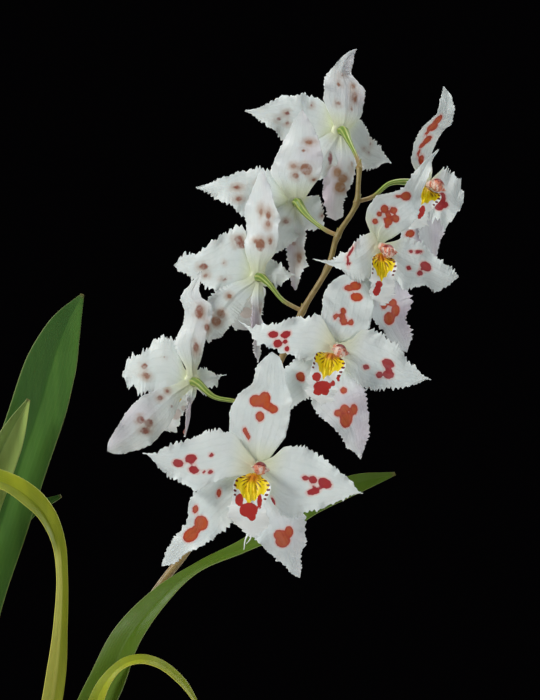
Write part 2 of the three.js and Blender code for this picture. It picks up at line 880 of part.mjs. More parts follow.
// The lip comes forward from under the column and turns down, with side lobes that stand up and
// a broad waved front lobe. The callus in its throat carries two teeth.
function lip(bloom, seed) {
  const { down, side, sway, place } = lipPlane(bloom);
  const scale = Math.hypot(...bloom.lip) / LIP_LENGTH;
  const draw = seededDraws(seed);
  const phase = 2 * Math.PI * draw();
  const line = new THREE.SplineCurve(
    LIP_LINE.map(([steps, forward], i) => new THREE.Vector2(i ? steps * scale : steps, forward)),
  );
  const body = sheet(LIP_ROWS, BLADE_COLUMNS, BLADE_THICKNESS, (along, across, row) => {
    const middle = line.getPointAt(along);
    const tangent = line.getTangentAt(along);
    const normal = down
      .clone()
      .multiplyScalar(-tangent.y)
      .addScaledVector(bloom.facing, tangent.x);
    const frill = smoothRise(0.45, 0.7, along) * across * across;
    const tooth = 1 + LIP_TOOTH * (row % 2 ? 1 : -1) * frill;
    const halfWidth = stepped(LIP_HALF_WIDTHS, along) * bloom.lipBreadth * tooth;
    const sideLobe = smoothRise(0.1, 0.3, along) * smoothRise(0.55, 0.35, along);
    const wave = Math.sin(2 * Math.PI * LIP_WAVES * along + phase + across);
    const rise =
      LIP_SIDE_LOBE_RISE * across * across * sideLobe +
      LIP_WAVE_HEIGHT * wave * frill * (1 - along ** 3);
    const point = place(middle.x, middle.y)
      .addScaledVector(side, across * halfWidth + sway(along))
      .addScaledVector(normal, rise);
    return { point, normal };
  });
  const root = line.getPointAt(CALLUS_PLACE);
  const callus = [-1, 1].map((hand) => {
    const lean = down
      .clone()
      .addScaledVector(bloom.facing, CALLUS_FORWARD_LEAN)
      .addScaledVector(side, CALLUS_SIDE_LEAN * hand)
      .normalize();
    const middle = place(root.x, root.y)
      .addScaledVector(side, CALLUS_SPREAD * hand + sway(CALLUS_PLACE))
      .addScaledVector(lean, CALLUS_TOOTH_LENGTH / 2 - CALLUS_SINK);
    return standing(new THREE.ConeGeometry(CALLUS_TOOTH_RADIUS, CALLUS_TOOTH_LENGTH, 5), lean, middle);
  });
  return geometryFrom(fuse([body, ...callus]));
}

function column(bloom) {
  const { side, place } = lipPlane(bloom);
  const points = COLUMN_LINE.map(([steps, forward]) => place(steps, forward));
  const line = new THREE.CatmullRomCurve3(points);
  const post = taperedBar(line, COLUMN_STEPS, COLUMN_SIDES, (along) => stepped(COLUMN_RADII, along));
  const wings = [-1, 1].map((hand) => {
    const wing = new THREE.ConeGeometry(WING_RADIUS, WING_SPAN, 4).scale(1, 1, WING_FLATNESS);
    const lean = side.clone().multiplyScalar(hand).addScaledVector(bloom.facing, WING_FORWARD_LEAN);
    const middle = line.getPointAt(WING_PLACE).addScaledVector(side, WING_OFFSET * hand);
    return standing(wing, lean, middle);
  });
  return geometryFrom(fuse([post, ...wings]));
}

// A stalk from the spike to just behind its bloom, where the ovary swells
function stalk(bloom) {
  const rear = -(SEPAL_HUB_THICKNESS / 2 + SEAT_GAP);
  const approach = bloom.centre.clone().addScaledVector(bloom.facing, rear - OVARY_LENGTH);
  const end = bloom.centre.clone().addScaledVector(bloom.facing, rear);
  const points = [...vectors(bloom.stalk), approach, end];
  const curve = new THREE.CatmullRomCurve3(points, false, "centripetal");
  return taperedBar(
    curve,
    PEDICEL_STEPS,
    PEDICEL_SIDES,
    (along) => PEDICEL_RADIUS + (OVARY_RADIUS - PEDICEL_RADIUS) * smoothRise(0.4, 1, along),
  );
}

// A pointed scale that hugs the spike and leans away from it towards `outward`
function scale(foot, outward, length, radius) {
  const lean = new THREE.Vector3(SCALE_LEAN, 0, 1).addScaledVector(outward, SCALE_LEAN).normalize();
  const middle = new THREE.Vector3(...foot).addScaledVector(lean, length / 2 - 1);
  return standing(new THREE.ConeGeometry(radius, length, SCALE_SIDES), lean, middle);
}

function spike(blooms) {
  const curve = new THREE.CatmullRomCurve3(vectors(SPIKE), false, "centripetal");
  const main = taperedBar(curve, SPIKE_STEPS, SPIKE_SIDES, (along) =>
    THREE.MathUtils.lerp(SPIKE_FOOT_RADIUS, SPIKE_TIP_RADIUS, along),
  );
  const bracts = blooms.map(({ stalk: [foot, next] }) => {
    const outward = new THREE.Vector3(...next).sub(new THREE.Vector3(...foot)).normalize();
    return scale(foot, outward, BRACT_LENGTH, BRACT_RADIUS);
  });
  const rightwards = new THREE.Vector3(1, 0, 0);
  const sheaths = SHEATHS.map((foot) => scale(foot, rightwards, SHEATH_LENGTH, SHEATH_RADIUS));
  return geometryFrom(fuse([main, ...blooms.map(stalk), ...bracts, ...sheaths]));
}

addPiece("pot", pot(), "terracotta");
addPiece("growing_medium", bark(), "bark");
for (const bulb of PSEUDOBULBS) addPiece(bulb.name, pseudobulb(bulb), "pseudobulb");
for (const each of LEAVES) addPiece(each.name, leaf(each), "leaf");

const blooms = BLOOMS.map((bloom) => ({
  ...bloom,
  centre: new THREE.Vector3(...bloom.centre),
  facing: new THREE.Vector3(...bloom.facing).normalize(),
}));
addPiece("flower_stem", spike(blooms), "spike");
blooms.forEach((bloom, number) => {
  const seed = 100 * (number + 1);
  const sepals = [
    blade(bloom, bloom.dorsal, DORSAL_SEPAL, SEPAL_LAYER, seed + 1, bloom.sway),
    blade(bloom, bloom.laterals[0], LATERAL_SEPAL, SEPAL_LAYER, seed + 2),
    blade(bloom, bloom.laterals[1], LATERAL_SEPAL, SEPAL_LAYER, seed + 3),
    hub(bloom, -SEPAL_HUB_THICKNESS / 2, SEPAL_HUB_THICKNESS / 2),
  ];
  const petals = [
    blade(bloom, bloom.petals[0], PETAL, PETAL_LAYER, seed + 4),
    blade(bloom, bloom.petals[1], PETAL, PETAL_LAYER, seed + 5),
    hub(bloom, SEPAL_HUB_THICKNESS / 2 + SEAT_GAP, PETAL_HUB_TOP),
  ];
  addPiece(`${bloom.name}_sepals`, geometryFrom(fuse(sepals)), "sepal");
  addPiece(`${bloom.name}_petals`, geometryFrom(fuse(petals)), "petal");
  addPiece(`${bloom.name}_lip`, lip(bloom, seed + 6), "lip");
  addPiece(`${bloom.name}_column`, column(bloom), "column");
});

export default potted;
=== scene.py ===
import logging
import math
from dataclasses import dataclass
from enum import Enum
from typing import Sequence

import bpy
import numpy as np
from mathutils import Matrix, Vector


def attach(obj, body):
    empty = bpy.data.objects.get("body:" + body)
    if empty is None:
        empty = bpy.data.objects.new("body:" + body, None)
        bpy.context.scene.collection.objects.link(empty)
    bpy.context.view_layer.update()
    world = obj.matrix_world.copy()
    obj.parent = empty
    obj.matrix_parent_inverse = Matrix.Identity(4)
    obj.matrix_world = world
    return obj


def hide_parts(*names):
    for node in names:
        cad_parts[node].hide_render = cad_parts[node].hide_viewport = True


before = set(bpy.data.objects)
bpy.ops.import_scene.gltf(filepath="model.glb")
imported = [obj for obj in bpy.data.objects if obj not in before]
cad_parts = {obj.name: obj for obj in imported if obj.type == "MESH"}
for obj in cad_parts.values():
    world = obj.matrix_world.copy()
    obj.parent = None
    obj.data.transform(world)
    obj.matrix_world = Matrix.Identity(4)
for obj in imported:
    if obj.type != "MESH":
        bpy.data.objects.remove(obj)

# A potted odontoglossum crispum orchid in flower. Sizes and places are in millimetres in the
# part's own frame and turn into metres where a mesh is made. Every blade, leaf, lip and stem is a
# surface worked out on a grid, by the same rule as its solid, with its own edge, waves and marks.

MM = 0.001
BODY = "root"
LOG = logging.getLogger("orchid")

Point = tuple[float, float, float]
# A spot on a blade: how far it lies across and up from the bloom's centre as seen from the front
# of the plant, its half length and half breadth, and its tilt in degrees where it isn't level
Spot = tuple[float, ...]
# A station of an outline: its share of the blade's length, and the reach of the blade to the left
# and to the right of its axis there, seen from the bloom's own front with the tip up
Station = tuple[float, float, float]
Colour = tuple[float, float, float, float]
Socket = bpy.types.NodeSocket
Array = np.ndarray
Material = bpy.types.Material
Fields = dict[str, Array]

NO_TRIANGLES = np.empty((0, 3), int)
# The value of the field `spot` where no spot is near
NO_SPOT = 9.0
# How light spreads in a petal: the depth in metres, and the share of it for red, green and blue
PETAL_FLESH = {"Subsurface_Scale": 0.0006, "Subsurface_Radius": (1.0, 0.85, 0.75)}


def unit(vectors: Array) -> Array:
    """The vectors at length 1."""
    return vectors / np.linalg.norm(vectors, axis=-1, keepdims=True)


def smooth_rise(start: float, end: float, value: Array) -> Array:
    """0 before `start`, 1 past `end`, and the cubic 3t^2 - 2t^3 between them."""
    share = np.clip((value - start) / (end - start), 0, 1)
    return share * share * (3 - 2 * share)


def round_angles(count: int) -> Array:
    """Even angles round a circle."""
    return np.linspace(0, 2 * np.pi, count, endpoint=False)


def eased_columns(count: int) -> Array:
    """Places from -1 to 1 that crowd towards both ends: sin(0.43 * pi * t), stretched to reach 1."""
    across = np.sin(np.linspace(-1, 1, count) * np.pi / 2 * 0.86)[None, :]
    return across / across.max()


def turned(level: Array, front: Array, angle: Array) -> tuple[Array, Array]:
    """Two directions turned by an angle in their own plane, from level towards front."""
    return np.cos(angle) * level + np.sin(angle) * front, np.cos(angle) * front - np.sin(angle) * level


def solid_draw(seed: int, count: int) -> float:
    """One of the repeatable draws that the solids use.

    Each draw comes from the one before it: next = (state * 1664525 + 1013904223) mod 2^32.
    """
    state = seed
    for _ in range(count):
        state = (state * 1664525 + 1013904223) % 2**32
    return state / 2**32


def smooth_through(places: Sequence[float], values: Sequence[float], at: Array) -> Array:
    """A smooth curve through (place, value) pairs that never overshoots them.

    Between two places it is a cubic. Its slope at a place is the harmonic mean of the slopes on
    both sides, or 0 where the values turn.

    Args:
        places: Rising places.
        values: The value at each place.
        at: Where the curve is read.

    Returns:
        The curve's values.
    """
    x, y = np.asarray(places, float), np.asarray(values, float)
    step = np.diff(x)
    slope = np.diff(y) / step
    tangent = np.zeros(len(x))
    product = slope[:-1] * slope[1:]
    steady = product > 0
    tangent[1:-1][steady] = 2 * product[steady] / (slope[:-1] + slope[1:])[steady]
    tangent[0], tangent[-1] = slope[0], slope[-1]
    i = np.clip(np.searchsorted(x, at) - 1, 0, len(step) - 1)
    t = np.clip((at - x[i]) / step[i], 0, 1)
    ease = t * t * (3 - 2 * t)
    into, out = t * (1 - t) ** 2, t * t * (t - 1)
    return y[i] * (1 - ease) + y[i + 1] * ease + step[i] * (into * tangent[i] + out * tangent[i + 1])


def wander(rng: np.random.Generator, at: Array, pitch: float) -> Array:
    """Smooth repeatable noise along a line: a new value at every pitch, eased in between.

    Args:
        rng: Where the values come from.
        at: The places along the line, from 0 up.
        pitch: The distance from one value to the next.

    Returns:
        The noise at each place, from -1 to 1.
    """
    place = at / pitch
    knots = rng.uniform(-1, 1, int(place.max()) + 3)
    i = place.astype(int)
    ease = smooth_rise(0, 1, place - i)
    return knots[i] * (1 - ease) + knots[i + 1] * ease


def slanted_teeth(rng: np.random.Generator, run: Array, pitch: float, depth: float) -> Array:
    """Triangular teeth along an edge, unequal in size and spacing, that lean towards its end.

    The spacing strays by up to one pitch over 2.3 pitches, and the size changes over 1.7 pitches.

    Args:
        rng: Where the unevenness comes from.
        run: The distance along the edge.
        pitch: The usual distance from tooth to tooth.
        depth: The height of the tallest teeth.

    Returns:
        The height of the edge above its own base line.
    """
    rising_part = 0.68
    share = (run / pitch + wander(rng, run, 2.3 * pitch)) % 1
    size = 0.1 + 0.9 * np.abs(wander(rng, run, 1.7 * pitch))
    return depth * size * np.minimum(share / rising_part, (1 - share) / (1 - rising_part))


def curve_through(points: Sequence[Point], count: int, even: bool = False) -> Array:
    """Points on the smooth curve through a list of points.

    Each stretch is the centripetal Catmull-Rom cubic, whose tangents come from the neighbours
    weighted by the square roots of the distances between them.

    Args:
        points: The points that the curve passes.
        count: How many points to give back.
        even: Spread them evenly over the length instead of evenly over the stretches.

    Returns:
        An array of `count` points.
    """
    p = np.asarray(points, float)
    p = np.vstack([2 * p[0] - p[1], p, 2 * p[-1] - p[-2]])
    place = np.linspace(0, len(points) - 1, 8 * count if even else count)
    i = np.minimum(place.astype(int), len(points) - 2)
    t = (place - i)[:, None]
    a, b, c, d = p[i], p[i + 1], p[i + 2], p[i + 3]
    before, here, after = (
        np.sqrt(np.linalg.norm(q - r, axis=1, keepdims=True)) for q, r in ((b, a), (c, b), (d, c))
    )
    start = ((b - a) / before - (c - a) / (before + here) + (c - b) / here) * here
    end = ((c - b) / here - (d - b) / (here + after) + (d - c) / after) * here
    ease = t * t * (3 - 2 * t)
    curve = b * (1 - ease) + c * ease + start * t * (1 - t) ** 2 + end * t * t * (t - 1)
    if not even:
        return curve
    run = np.append(0, np.cumsum(np.linalg.norm(np.diff(curve, axis=0), axis=1)))
    stops = np.linspace(0, run[-1], count)
    return np.stack([np.interp(stops, run, curve[:, axis]) for axis in range(3)], axis=1)


def linked(name: str, data: bpy.types.ID) -> bpy.types.Object:
    """A new object of a mesh, light or camera, in the scene."""
    thing = bpy.data.objects.new(name, data)
    bpy.context.scene.collection.objects.link(thing)
    return thing


@dataclass
class Shell:
    """One or more closed surfaces, with a value at every point for each named field.

    Attributes:
        points: An array of points, one row each.
        quads: Four point numbers a face.
        triangles: Three point numbers a face.
        fields: Name to one value a point. Materials read them as attributes.
    """

    points: Array
    quads: Array
    triangles: Array
    fields: Fields

    @staticmethod
    def joined(shells: Sequence["Shell"]) -> "Shell":
        """Several shells as one.

        Args:
            shells: The shells, in order.

        Returns:
            The one shell. A field that a shell lacks is 0 there.
        """
        starts = np.cumsum([0] + [len(shell.points) for shell in shells[:-1]])
        fields = {}
        for name in dict.fromkeys(name for shell in shells for name in shell.fields):
            parts = [shell.fields.get(name, np.zeros(len(shell.points))) for shell in shells]
            fields[name] = np.concatenate(parts)
        return Shell(
            np.vstack([shell.points for shell in shells]),
            np.vstack([shell.quads + start for shell, start in zip(shells, starts)]),
            np.vstack([shell.triangles + start for shell, start in zip(shells, starts)]),
            fields,
        )

    def filled(self, **values: float) -> "Shell":
        """The shell with each named field set to one value all over."""
        self.fields.update({name: np.full(len(self.points), value) for name, value in values.items()})
        return self

    def made(self, node: str, slot: str, material: Material) -> bpy.types.Object:
        """A Blender object of the shell that replaces a CAD node.

        Args:
            node: The CAD node.
            slot: The record's material slot.
            material: Its finish.

        Returns:
            The object, riding on the part's body.
        """
        mesh = bpy.data.meshes.new(f"{node}_grown")
        corners = np.concatenate([self.quads.ravel(), self.triangles.ravel()])
        sizes = np.repeat([4, 3], [len(self.quads), len(self.triangles)])
        starts = np.cumsum(sizes) - sizes
        mesh.vertices.add(len(self.points))
        mesh.vertices.foreach_set("co", (self.points * MM).astype(np.float32).ravel())
        mesh.loops.add(len(corners))
        mesh.loops.foreach_set("vertex_index", corners.astype(np.int32))
        mesh.polygons.add(len(starts))
        mesh.polygons.foreach_set("loop_start", starts.astype(np.int32))
        mesh.polygons.foreach_set("use_smooth", np.ones(len(starts), bool))
        mesh.update(calc_edges=True)
        for name, values in self.fields.items():
            attribute = mesh.attributes.new(name, "FLOAT", "POINT")
            attribute.data.foreach_set("value", values.astype(np.float32).ravel())
        mesh.materials.append(material)
        piece = linked(mesh.name, mesh)
        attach(piece, BODY)
        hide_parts(node)
        LOG.info("%s: %d faces in the %s finish", piece.name, len(starts), slot)
        return piece


def grid_quads(number: Array) -> Array:
    """The faces between the points of a grid."""
    a, b = number[:-1, :-1], number[1:, :-1]
    c, d = number[1:, 1:], number[:-1, 1:]
    return np.stack([a, b, c, d], axis=-1).reshape(-1, 4)


def sheet_shell(
    middle: Array, normal: Array, thickness: Array, fields: dict[str, Array | float]
) -> Shell:
    """A thin closed sheet round a middle surface on a grid.

    Each face is the middle surface moved half the thickness along its normal, and a rim of quads
    joins the two. The field `rear` is 0 on the front face and 1 on the other. Whatever is the same
    along the rows or the columns may be given once for them.

    Args:
        middle: Points in rows and columns. Rows run along the sheet and columns to its left.
        normal: The direction of the thickness at each point.
        thickness: The thickness at each point.
        fields: Values at each point of the grid, alike on both faces.

    Returns:
        The shell.
    """
    shape = middle.shape[:2]
    half = normal * np.broadcast_to(thickness, shape)[..., None] / 2
    count = shape[0] * shape[1]
    number = np.arange(count).reshape(shape)
    front = grid_quads(number)
    rim = np.concatenate([number[:-1, 0], number[-1, :-1], number[:0:-1, -1], number[0, :0:-1]])
    ahead = np.roll(rim, -1)
    side = np.stack([ahead, rim, rim + count, ahead + count], axis=-1)
    doubled = {name: np.tile(np.broadcast_to(values, shape).ravel(), 2) for name, values in fields.items()}
    doubled["rear"] = np.repeat([0.0, 1.0], count)
    return Shell(
        np.vstack([(middle + half).reshape(-1, 3), (middle - half).reshape(-1, 3)]),
        np.vstack([front, front[:, ::-1] + count, side]),
        NO_TRIANGLES,
        doubled,
    )


def ring_shell(rings: Array, first: Array, last: Array, fields: Fields) -> Shell:
    """A closed surface through rings of points, with a pole at each end.

    Args:
        rings: Rings of points. Each runs anticlockwise seen from the last pole.
        first: The pole before the first ring.
        last: The pole after the last ring.
        fields: Name to one value for each ring.

    Returns:
        The shell.
    """
    count, sides = rings.shape[:2]
    number = np.arange(count * sides).reshape(count, sides)
    ahead = np.roll(number, -1, axis=1)
    quads = np.stack([number[:-1], ahead[:-1], ahead[1:], number[1:]], axis=-1).reshape(-1, 4)
    start = np.full(sides, count * sides)
    first_fan = np.stack([start, ahead[0], number[0]], axis=-1)
    last_fan = np.stack([start + 1, number[-1], ahead[-1]], axis=-1)
    spread = {
        name: np.concatenate([np.repeat(values, sides), [values[0], values[-1]]])
        for name, values in fields.items()
    }
    points = np.vstack([rings.reshape(-1, 3), first, last])
    return Shell(points, quads, np.vstack([first_fan, last_fan]), spread)


def tube_shell(path: Array, radii: Array, sides: int, fields: Fields | None = None) -> Shell:
    """A closed bar along a path.

    Each ring stands square to the path, at its radius from it, and its first point is carried
    along from ring to ring with no twist.

    Args:
        path: Points along the middle.
        radii: The radius at each point, or at each point and side.
        sides: How many points a ring has.
        fields: Name to one value for each point of the path.

    Returns:
        The shell.
    """
    tangents = unit(np.gradient(path, axis=0))
    normals = np.empty_like(path)
    # Any direction that no path of the plant follows may start the first ring
    normal = np.array([0.3, 1.0, 0.2])
    for ring, tangent in enumerate(tangents):
        normal = unit(normal - tangent * (normal @ tangent))
        normals[ring] = normal
    binormals = np.cross(tangents, normals)
    angles = round_angles(sides)
    reach = np.broadcast_to(radii.reshape(len(path), -1), (len(path), sides))[..., None]
    rings = path[:, None] + reach * (
        np.cos(angles)[:, None] * normals[:, None] + np.sin(angles)[:, None] * binormals[:, None]
    )
    return ring_shell(rings, path[0], path[-1], fields or {})


def turned_shell(profile: Sequence[tuple[float, float]], sides: int) -> Shell:
    """A profile turned about the Z axis: (radius * cos(angle), radius * sin(angle), height)."""
    outline = np.asarray(profile, float)
    angles = round_angles(sides)
    radius = outline[1:-1, 0, None]
    height = np.broadcast_to(outline[1:-1, 1, None], (len(outline) - 2, sides))
    rings = np.stack([radius * np.cos(angles), radius * np.sin(angles), height], axis=-1)
    first, last = (np.array([0, 0, outline[end, 1]]) for end in (0, -1))
    return ring_shell(rings, first, last, {})


def paint(red: int, green: int, blue: int) -> Colour:
    """A colour given as on a paint chart, 0 to 255, as linear light."""
    share = np.array([red, green, blue]) / 255
    light = np.where(share <= 0.04045, share / 12.92, ((share + 0.055) / 1.055) ** 2.4)
    return (*light.tolist(), 1.0)


class Nodes:
    """Builds the nodes of one material. Each method adds nodes and gives back their output.

    A value, share or pattern is an output or a number, and a colour is an output or a Colour.
    """

    def __init__(self, name: str, **sockets: float | Point) -> None:
        """Starts a material.

        Args:
            name: The material's name.
            sockets: Constants for the shader, with _ for the spaces in a socket's name.
        """
        self.material = bpy.data.materials.new(name)
        self.material.use_nodes = True
        self.tree = self.material.node_tree
        self.shader = self.tree.nodes["Principled BSDF"]
        for socket, value in sockets.items():
            self.shader.inputs[socket.replace("_", " ")].default_value = value

    def feed(self, socket: Socket, value: object) -> None:
        """Links an output to a socket, or sets the socket's own value."""
        if isinstance(value, Socket):
            self.tree.links.new(value, socket)
        else:
            socket.default_value = value

    def add(self, kind: str, inputs: dict, output: int | str = 0, **settings: object) -> Socket:
        """A shader node with its inputs fed and its settings set."""
        node = self.tree.nodes.new(f"ShaderNode{kind}")
        for name, value in settings.items():
            setattr(node, name, value)
        for key, value in inputs.items():
            self.feed(node.inputs[key], value)
        return node.outputs[output]

    def field(self, name: str) -> Socket:
        """The value of a named field of the mesh."""
        return self.add("Attribute", {}, "Fac", attribute_name=name)

    def place(self) -> Socket:
        """The point's place on the object, in metres."""
        return self.add("TexCoord", {}, "Object")

    def height(self) -> Socket:
        """The point's height over the pot's foot, in metres."""
        return self.add("SeparateXYZ", {0: self.place()}, 2)

    def stretched(self, x: float, y: float, z: float) -> Socket:
        """The point's place with each axis scaled, for grain that runs one way."""
        return self.add("Mapping", {"Vector": self.place(), "Scale": (x, y, z)})

    def sum(self, a: object, b: object) -> Socket:
        """a + b."""
        return self.add("Math", {0: a, 1: b}, operation="ADD")

    def times(self, a: object, b: object) -> Socket:
        """a times b."""
        return self.add("Math", {0: a, 1: b}, operation="MULTIPLY")

    def rise(self, value: object, start: float, end: float, low: float = 0, high: float = 1) -> Socket:
        """A smooth step: the cubic 3t^2 - 2t^3, spread from `low` to `high`."""
        if start > end:
            start, end, low, high = end, start, high, low
        inputs = {"Value": value, "From Min": start, "From Max": end, "To Min": low, "To Max": high}
        return self.add("MapRange", inputs, interpolation_type="SMOOTHSTEP")

    def mix(self, share: object, a: object, b: object) -> Socket:
        """Colour a turning into colour b as the share goes from 0 to 1."""
        return self.add("Mix", {0: share, 6: a, 7: b}, 2, data_type="RGBA")

    def tint(self, body: object, colour: object, share: object, strength: float) -> Socket:
        """The body's colour with another over it, by a share times a strength."""
        return self.mix(self.times(share, strength), body, colour)

    def over(
        self, body: object, colour: object, pattern: object, start: float, end: float, strength: float = 1
    ) -> Socket:
        """The body's colour with another laid over it by a smooth step."""
        return self.mix(self.rise(pattern, start, end, 0, strength), body, colour)

    def noise(self, scale: float, detail: float = 2, vector: object = None, rough: float = 0.5) -> Socket:
        """Noise of about 0.5, with `scale` swells a metre."""
        where = self.place() if vector is None else vector
        inputs = {"Vector": where, "Scale": scale, "Detail": detail, "Roughness": rough}
        return self.add("TexNoise", inputs, "Fac")

    def jitter(self, scale: float, breadth: float) -> Socket:
        """Noise of about 0 that spans the breadth, with `scale` swells a metre."""
        return self.times(self.sum(self.noise(scale), -0.5), breadth)

    def lines(self, name: str, count: float, waver: Socket, start: float, end: float = 1) -> Socket:
        """Fine lines, where sin(count * field + waver) passes from `start` to `end`."""
        turn = self.sum(self.times(self.field(name), count), waver)
        return self.rise(self.add("Math", {0: turn}, operation="SINE"), start, end)

    def bump(self, height: object, depth: float) -> None:
        """Raises the surface by up to `depth` millimetres where the height is 1."""
        inputs = {"Height": height, "Distance": depth * MM, "Strength": 1.0}
        self.feed(self.shader.inputs["Normal"], self.add("Bump", inputs))

    def done(self, colour: object, roughness: object = None) -> Material:
        """Gives the shader what varies over the surface."""
        self.feed(self.shader.inputs["Base Color"], colour)
        if roughness is not None:
            self.feed(self.shader.inputs["Roughness"], roughness)
        return self.material


@dataclass(frozen=True)
class BlossomFinish:
    """The white of a sepal or petal, with red spots in front that show faintly behind.

    It reads the fields `spot`, the distance from the nearest spot's edge in millimetres and
    negative inside it, `tone`, which is 1 on a spot seen through the blade, `along`, `across`,
    `flush` and `rear`.
    """

    name: str
    core: Colour
    rim: Colour
    white: Colour = paint(234, 242, 241)
    vein: Colour = paint(198, 212, 210)
    shadow: Colour = paint(206, 220, 224)
    cream: Colour = paint(232, 236, 186)
    lilac: Colour = paint(196, 160, 194)
    halo: Colour = paint(236, 176, 166)
    shown_through: Colour = paint(132, 58, 58)
    tan: Colour = paint(170, 124, 84)

    def material(self) -> Material:
        """The finish as a material."""
        nodes = Nodes(self.name, Roughness=0.42, Subsurface_Weight=0.15, **PETAL_FLESH)
        edge = nodes.sum(nodes.field("spot"), nodes.jitter(900, 0.55))
        veins = nodes.lines("across", 26, nodes.times(nodes.noise(220), 1.6), 0.4)
        body = nodes.tint(self.white, self.vein, veins, 0.1)
        body = nodes.over(body, self.shadow, nodes.noise(90, 3), 0.4, 0.75, 0.4)
        body = nodes.over(body, self.cream, nodes.field("along"), 0.3, 0.03, 0.7)
        patches = nodes.rise(nodes.noise(70), 0.3, 0.65, 0.35, 1)
        body = nodes.mix(nodes.times(nodes.field("flush"), patches), body, self.lilac)
        core = nodes.over(self.rim, self.core, edge, -0.1, -1.0)
        core = nodes.over(core, self.rim, nodes.noise(500), 0.4, 0.7, 0.3)
        front = nodes.over(body, self.halo, edge, 0.85, 0.0, 0.6)
        front = nodes.over(front, core, edge, 0.12, -0.08)
        faint = nodes.mix(nodes.field("tone"), self.shown_through, self.tan)
        mottle = nodes.rise(nodes.noise(420), 0.35, 0.6, 0.5, 0.95)
        smear = nodes.rise(nodes.noise(150), 0.35, 0.65, 0.1, 0.7)
        behind = nodes.mix(nodes.times(nodes.rise(edge, 2.2, -0.8), smear), body, self.tan)
        behind = nodes.mix(nodes.times(nodes.rise(edge, 0.15, -0.6), mottle), behind, faint)
        swells = nodes.times(nodes.noise(240, 3), 3)
        grain = nodes.times(nodes.noise(1400), 0.3)
        nodes.bump(nodes.sum(nodes.times(veins, 0.25), nodes.sum(swells, grain)), 0.12)
        return nodes.done(nodes.mix(nodes.field("rear"), front, behind))


@dataclass(frozen=True)
class LipFinish:
    """The lip: a yellow throat with red-brown rays, dark red blotches and a white front lobe.

    It reads `throat`, 1 in the yellow part, `ray` and `reach`, the direction and distance from
    the throat, `rayed`, where rays may show, `dot`, 1 on the marks along the margins, and `spot`
    and `rear` as the other flower finishes do.
    """

    name: str = "lip"
    white: Colour = paint(244, 249, 248)
    yellow: Colour = paint(255, 226, 4)
    amber: Colour = paint(206, 104, 8)
    ray: Colour = paint(104, 18, 8)
    blotch: Colour = paint(188, 22, 4)
    shown_through: Colour = paint(190, 140, 120)

    def material(self) -> Material:
        """The finish as a material."""
        nodes = Nodes(self.name, Roughness=0.5, Subsurface_Weight=0.12, **PETAL_FLESH)
        reach, throat = nodes.field("reach"), nodes.field("throat")
        edge = nodes.sum(nodes.field("spot"), nodes.jitter(1100, 0.8))
        gold = nodes.over(self.yellow, self.amber, reach, 4.0, 0.8, 0.85)
        body = nodes.over(self.white, gold, nodes.sum(throat, nodes.jitter(700, 0.3)), 0.45, 0.55)
        body = nodes.over(body, self.blotch, edge, 0.1, -0.08)
        rays = nodes.lines("ray", 25, nodes.times(nodes.noise(500), 2.2), 0.3, 0.7)
        broken = nodes.rise(nodes.noise(420), 0.36, 0.48)
        inside = nodes.times(nodes.times(nodes.rise(reach, 6.2, 4.6), nodes.rise(throat, 0.25, 0.5)), broken)
        body = nodes.mix(nodes.times(nodes.times(rays, inside), nodes.field("rayed")), body, self.ray)
        body = nodes.over(body, self.ray, nodes.field("dot"), 0.3, 0.5)
        behind = nodes.over(self.white, self.shown_through, edge, 0.4, -0.4, 0.4)
        nodes.bump(nodes.noise(1200), 0.08)
        return nodes.done(nodes.mix(nodes.field("rear"), body, behind))


@dataclass(frozen=True)
class ColumnFinish:
    """The column: salmon with pale patches, under a red-brown hood. It reads `hood`."""

    name: str = "column"
    salmon: Colour = paint(222, 138, 112)
    pale: Colour = paint(240, 214, 200)
    hood: Colour = paint(134, 24, 16)

    def material(self) -> Material:
        """The finish as a material."""
        nodes = Nodes(self.name, Roughness=0.4, Subsurface_Weight=0.06, Subsurface_Scale=0.0006)
        patches = nodes.noise(620, 2, nodes.stretched(1, 0.5, 0.5))
        body = nodes.over(self.salmon, self.pale, patches, 0.46, 0.56)
        body = nodes.over(body, self.hood, nodes.noise(1300, 1), 0.6, 0.68, 0.8)
        body = nodes.over(body, self.hood, nodes.field("hood"), 0.35, 0.6)
        nodes.bump(nodes.noise(1500), 0.05)
        return nodes.done(body)


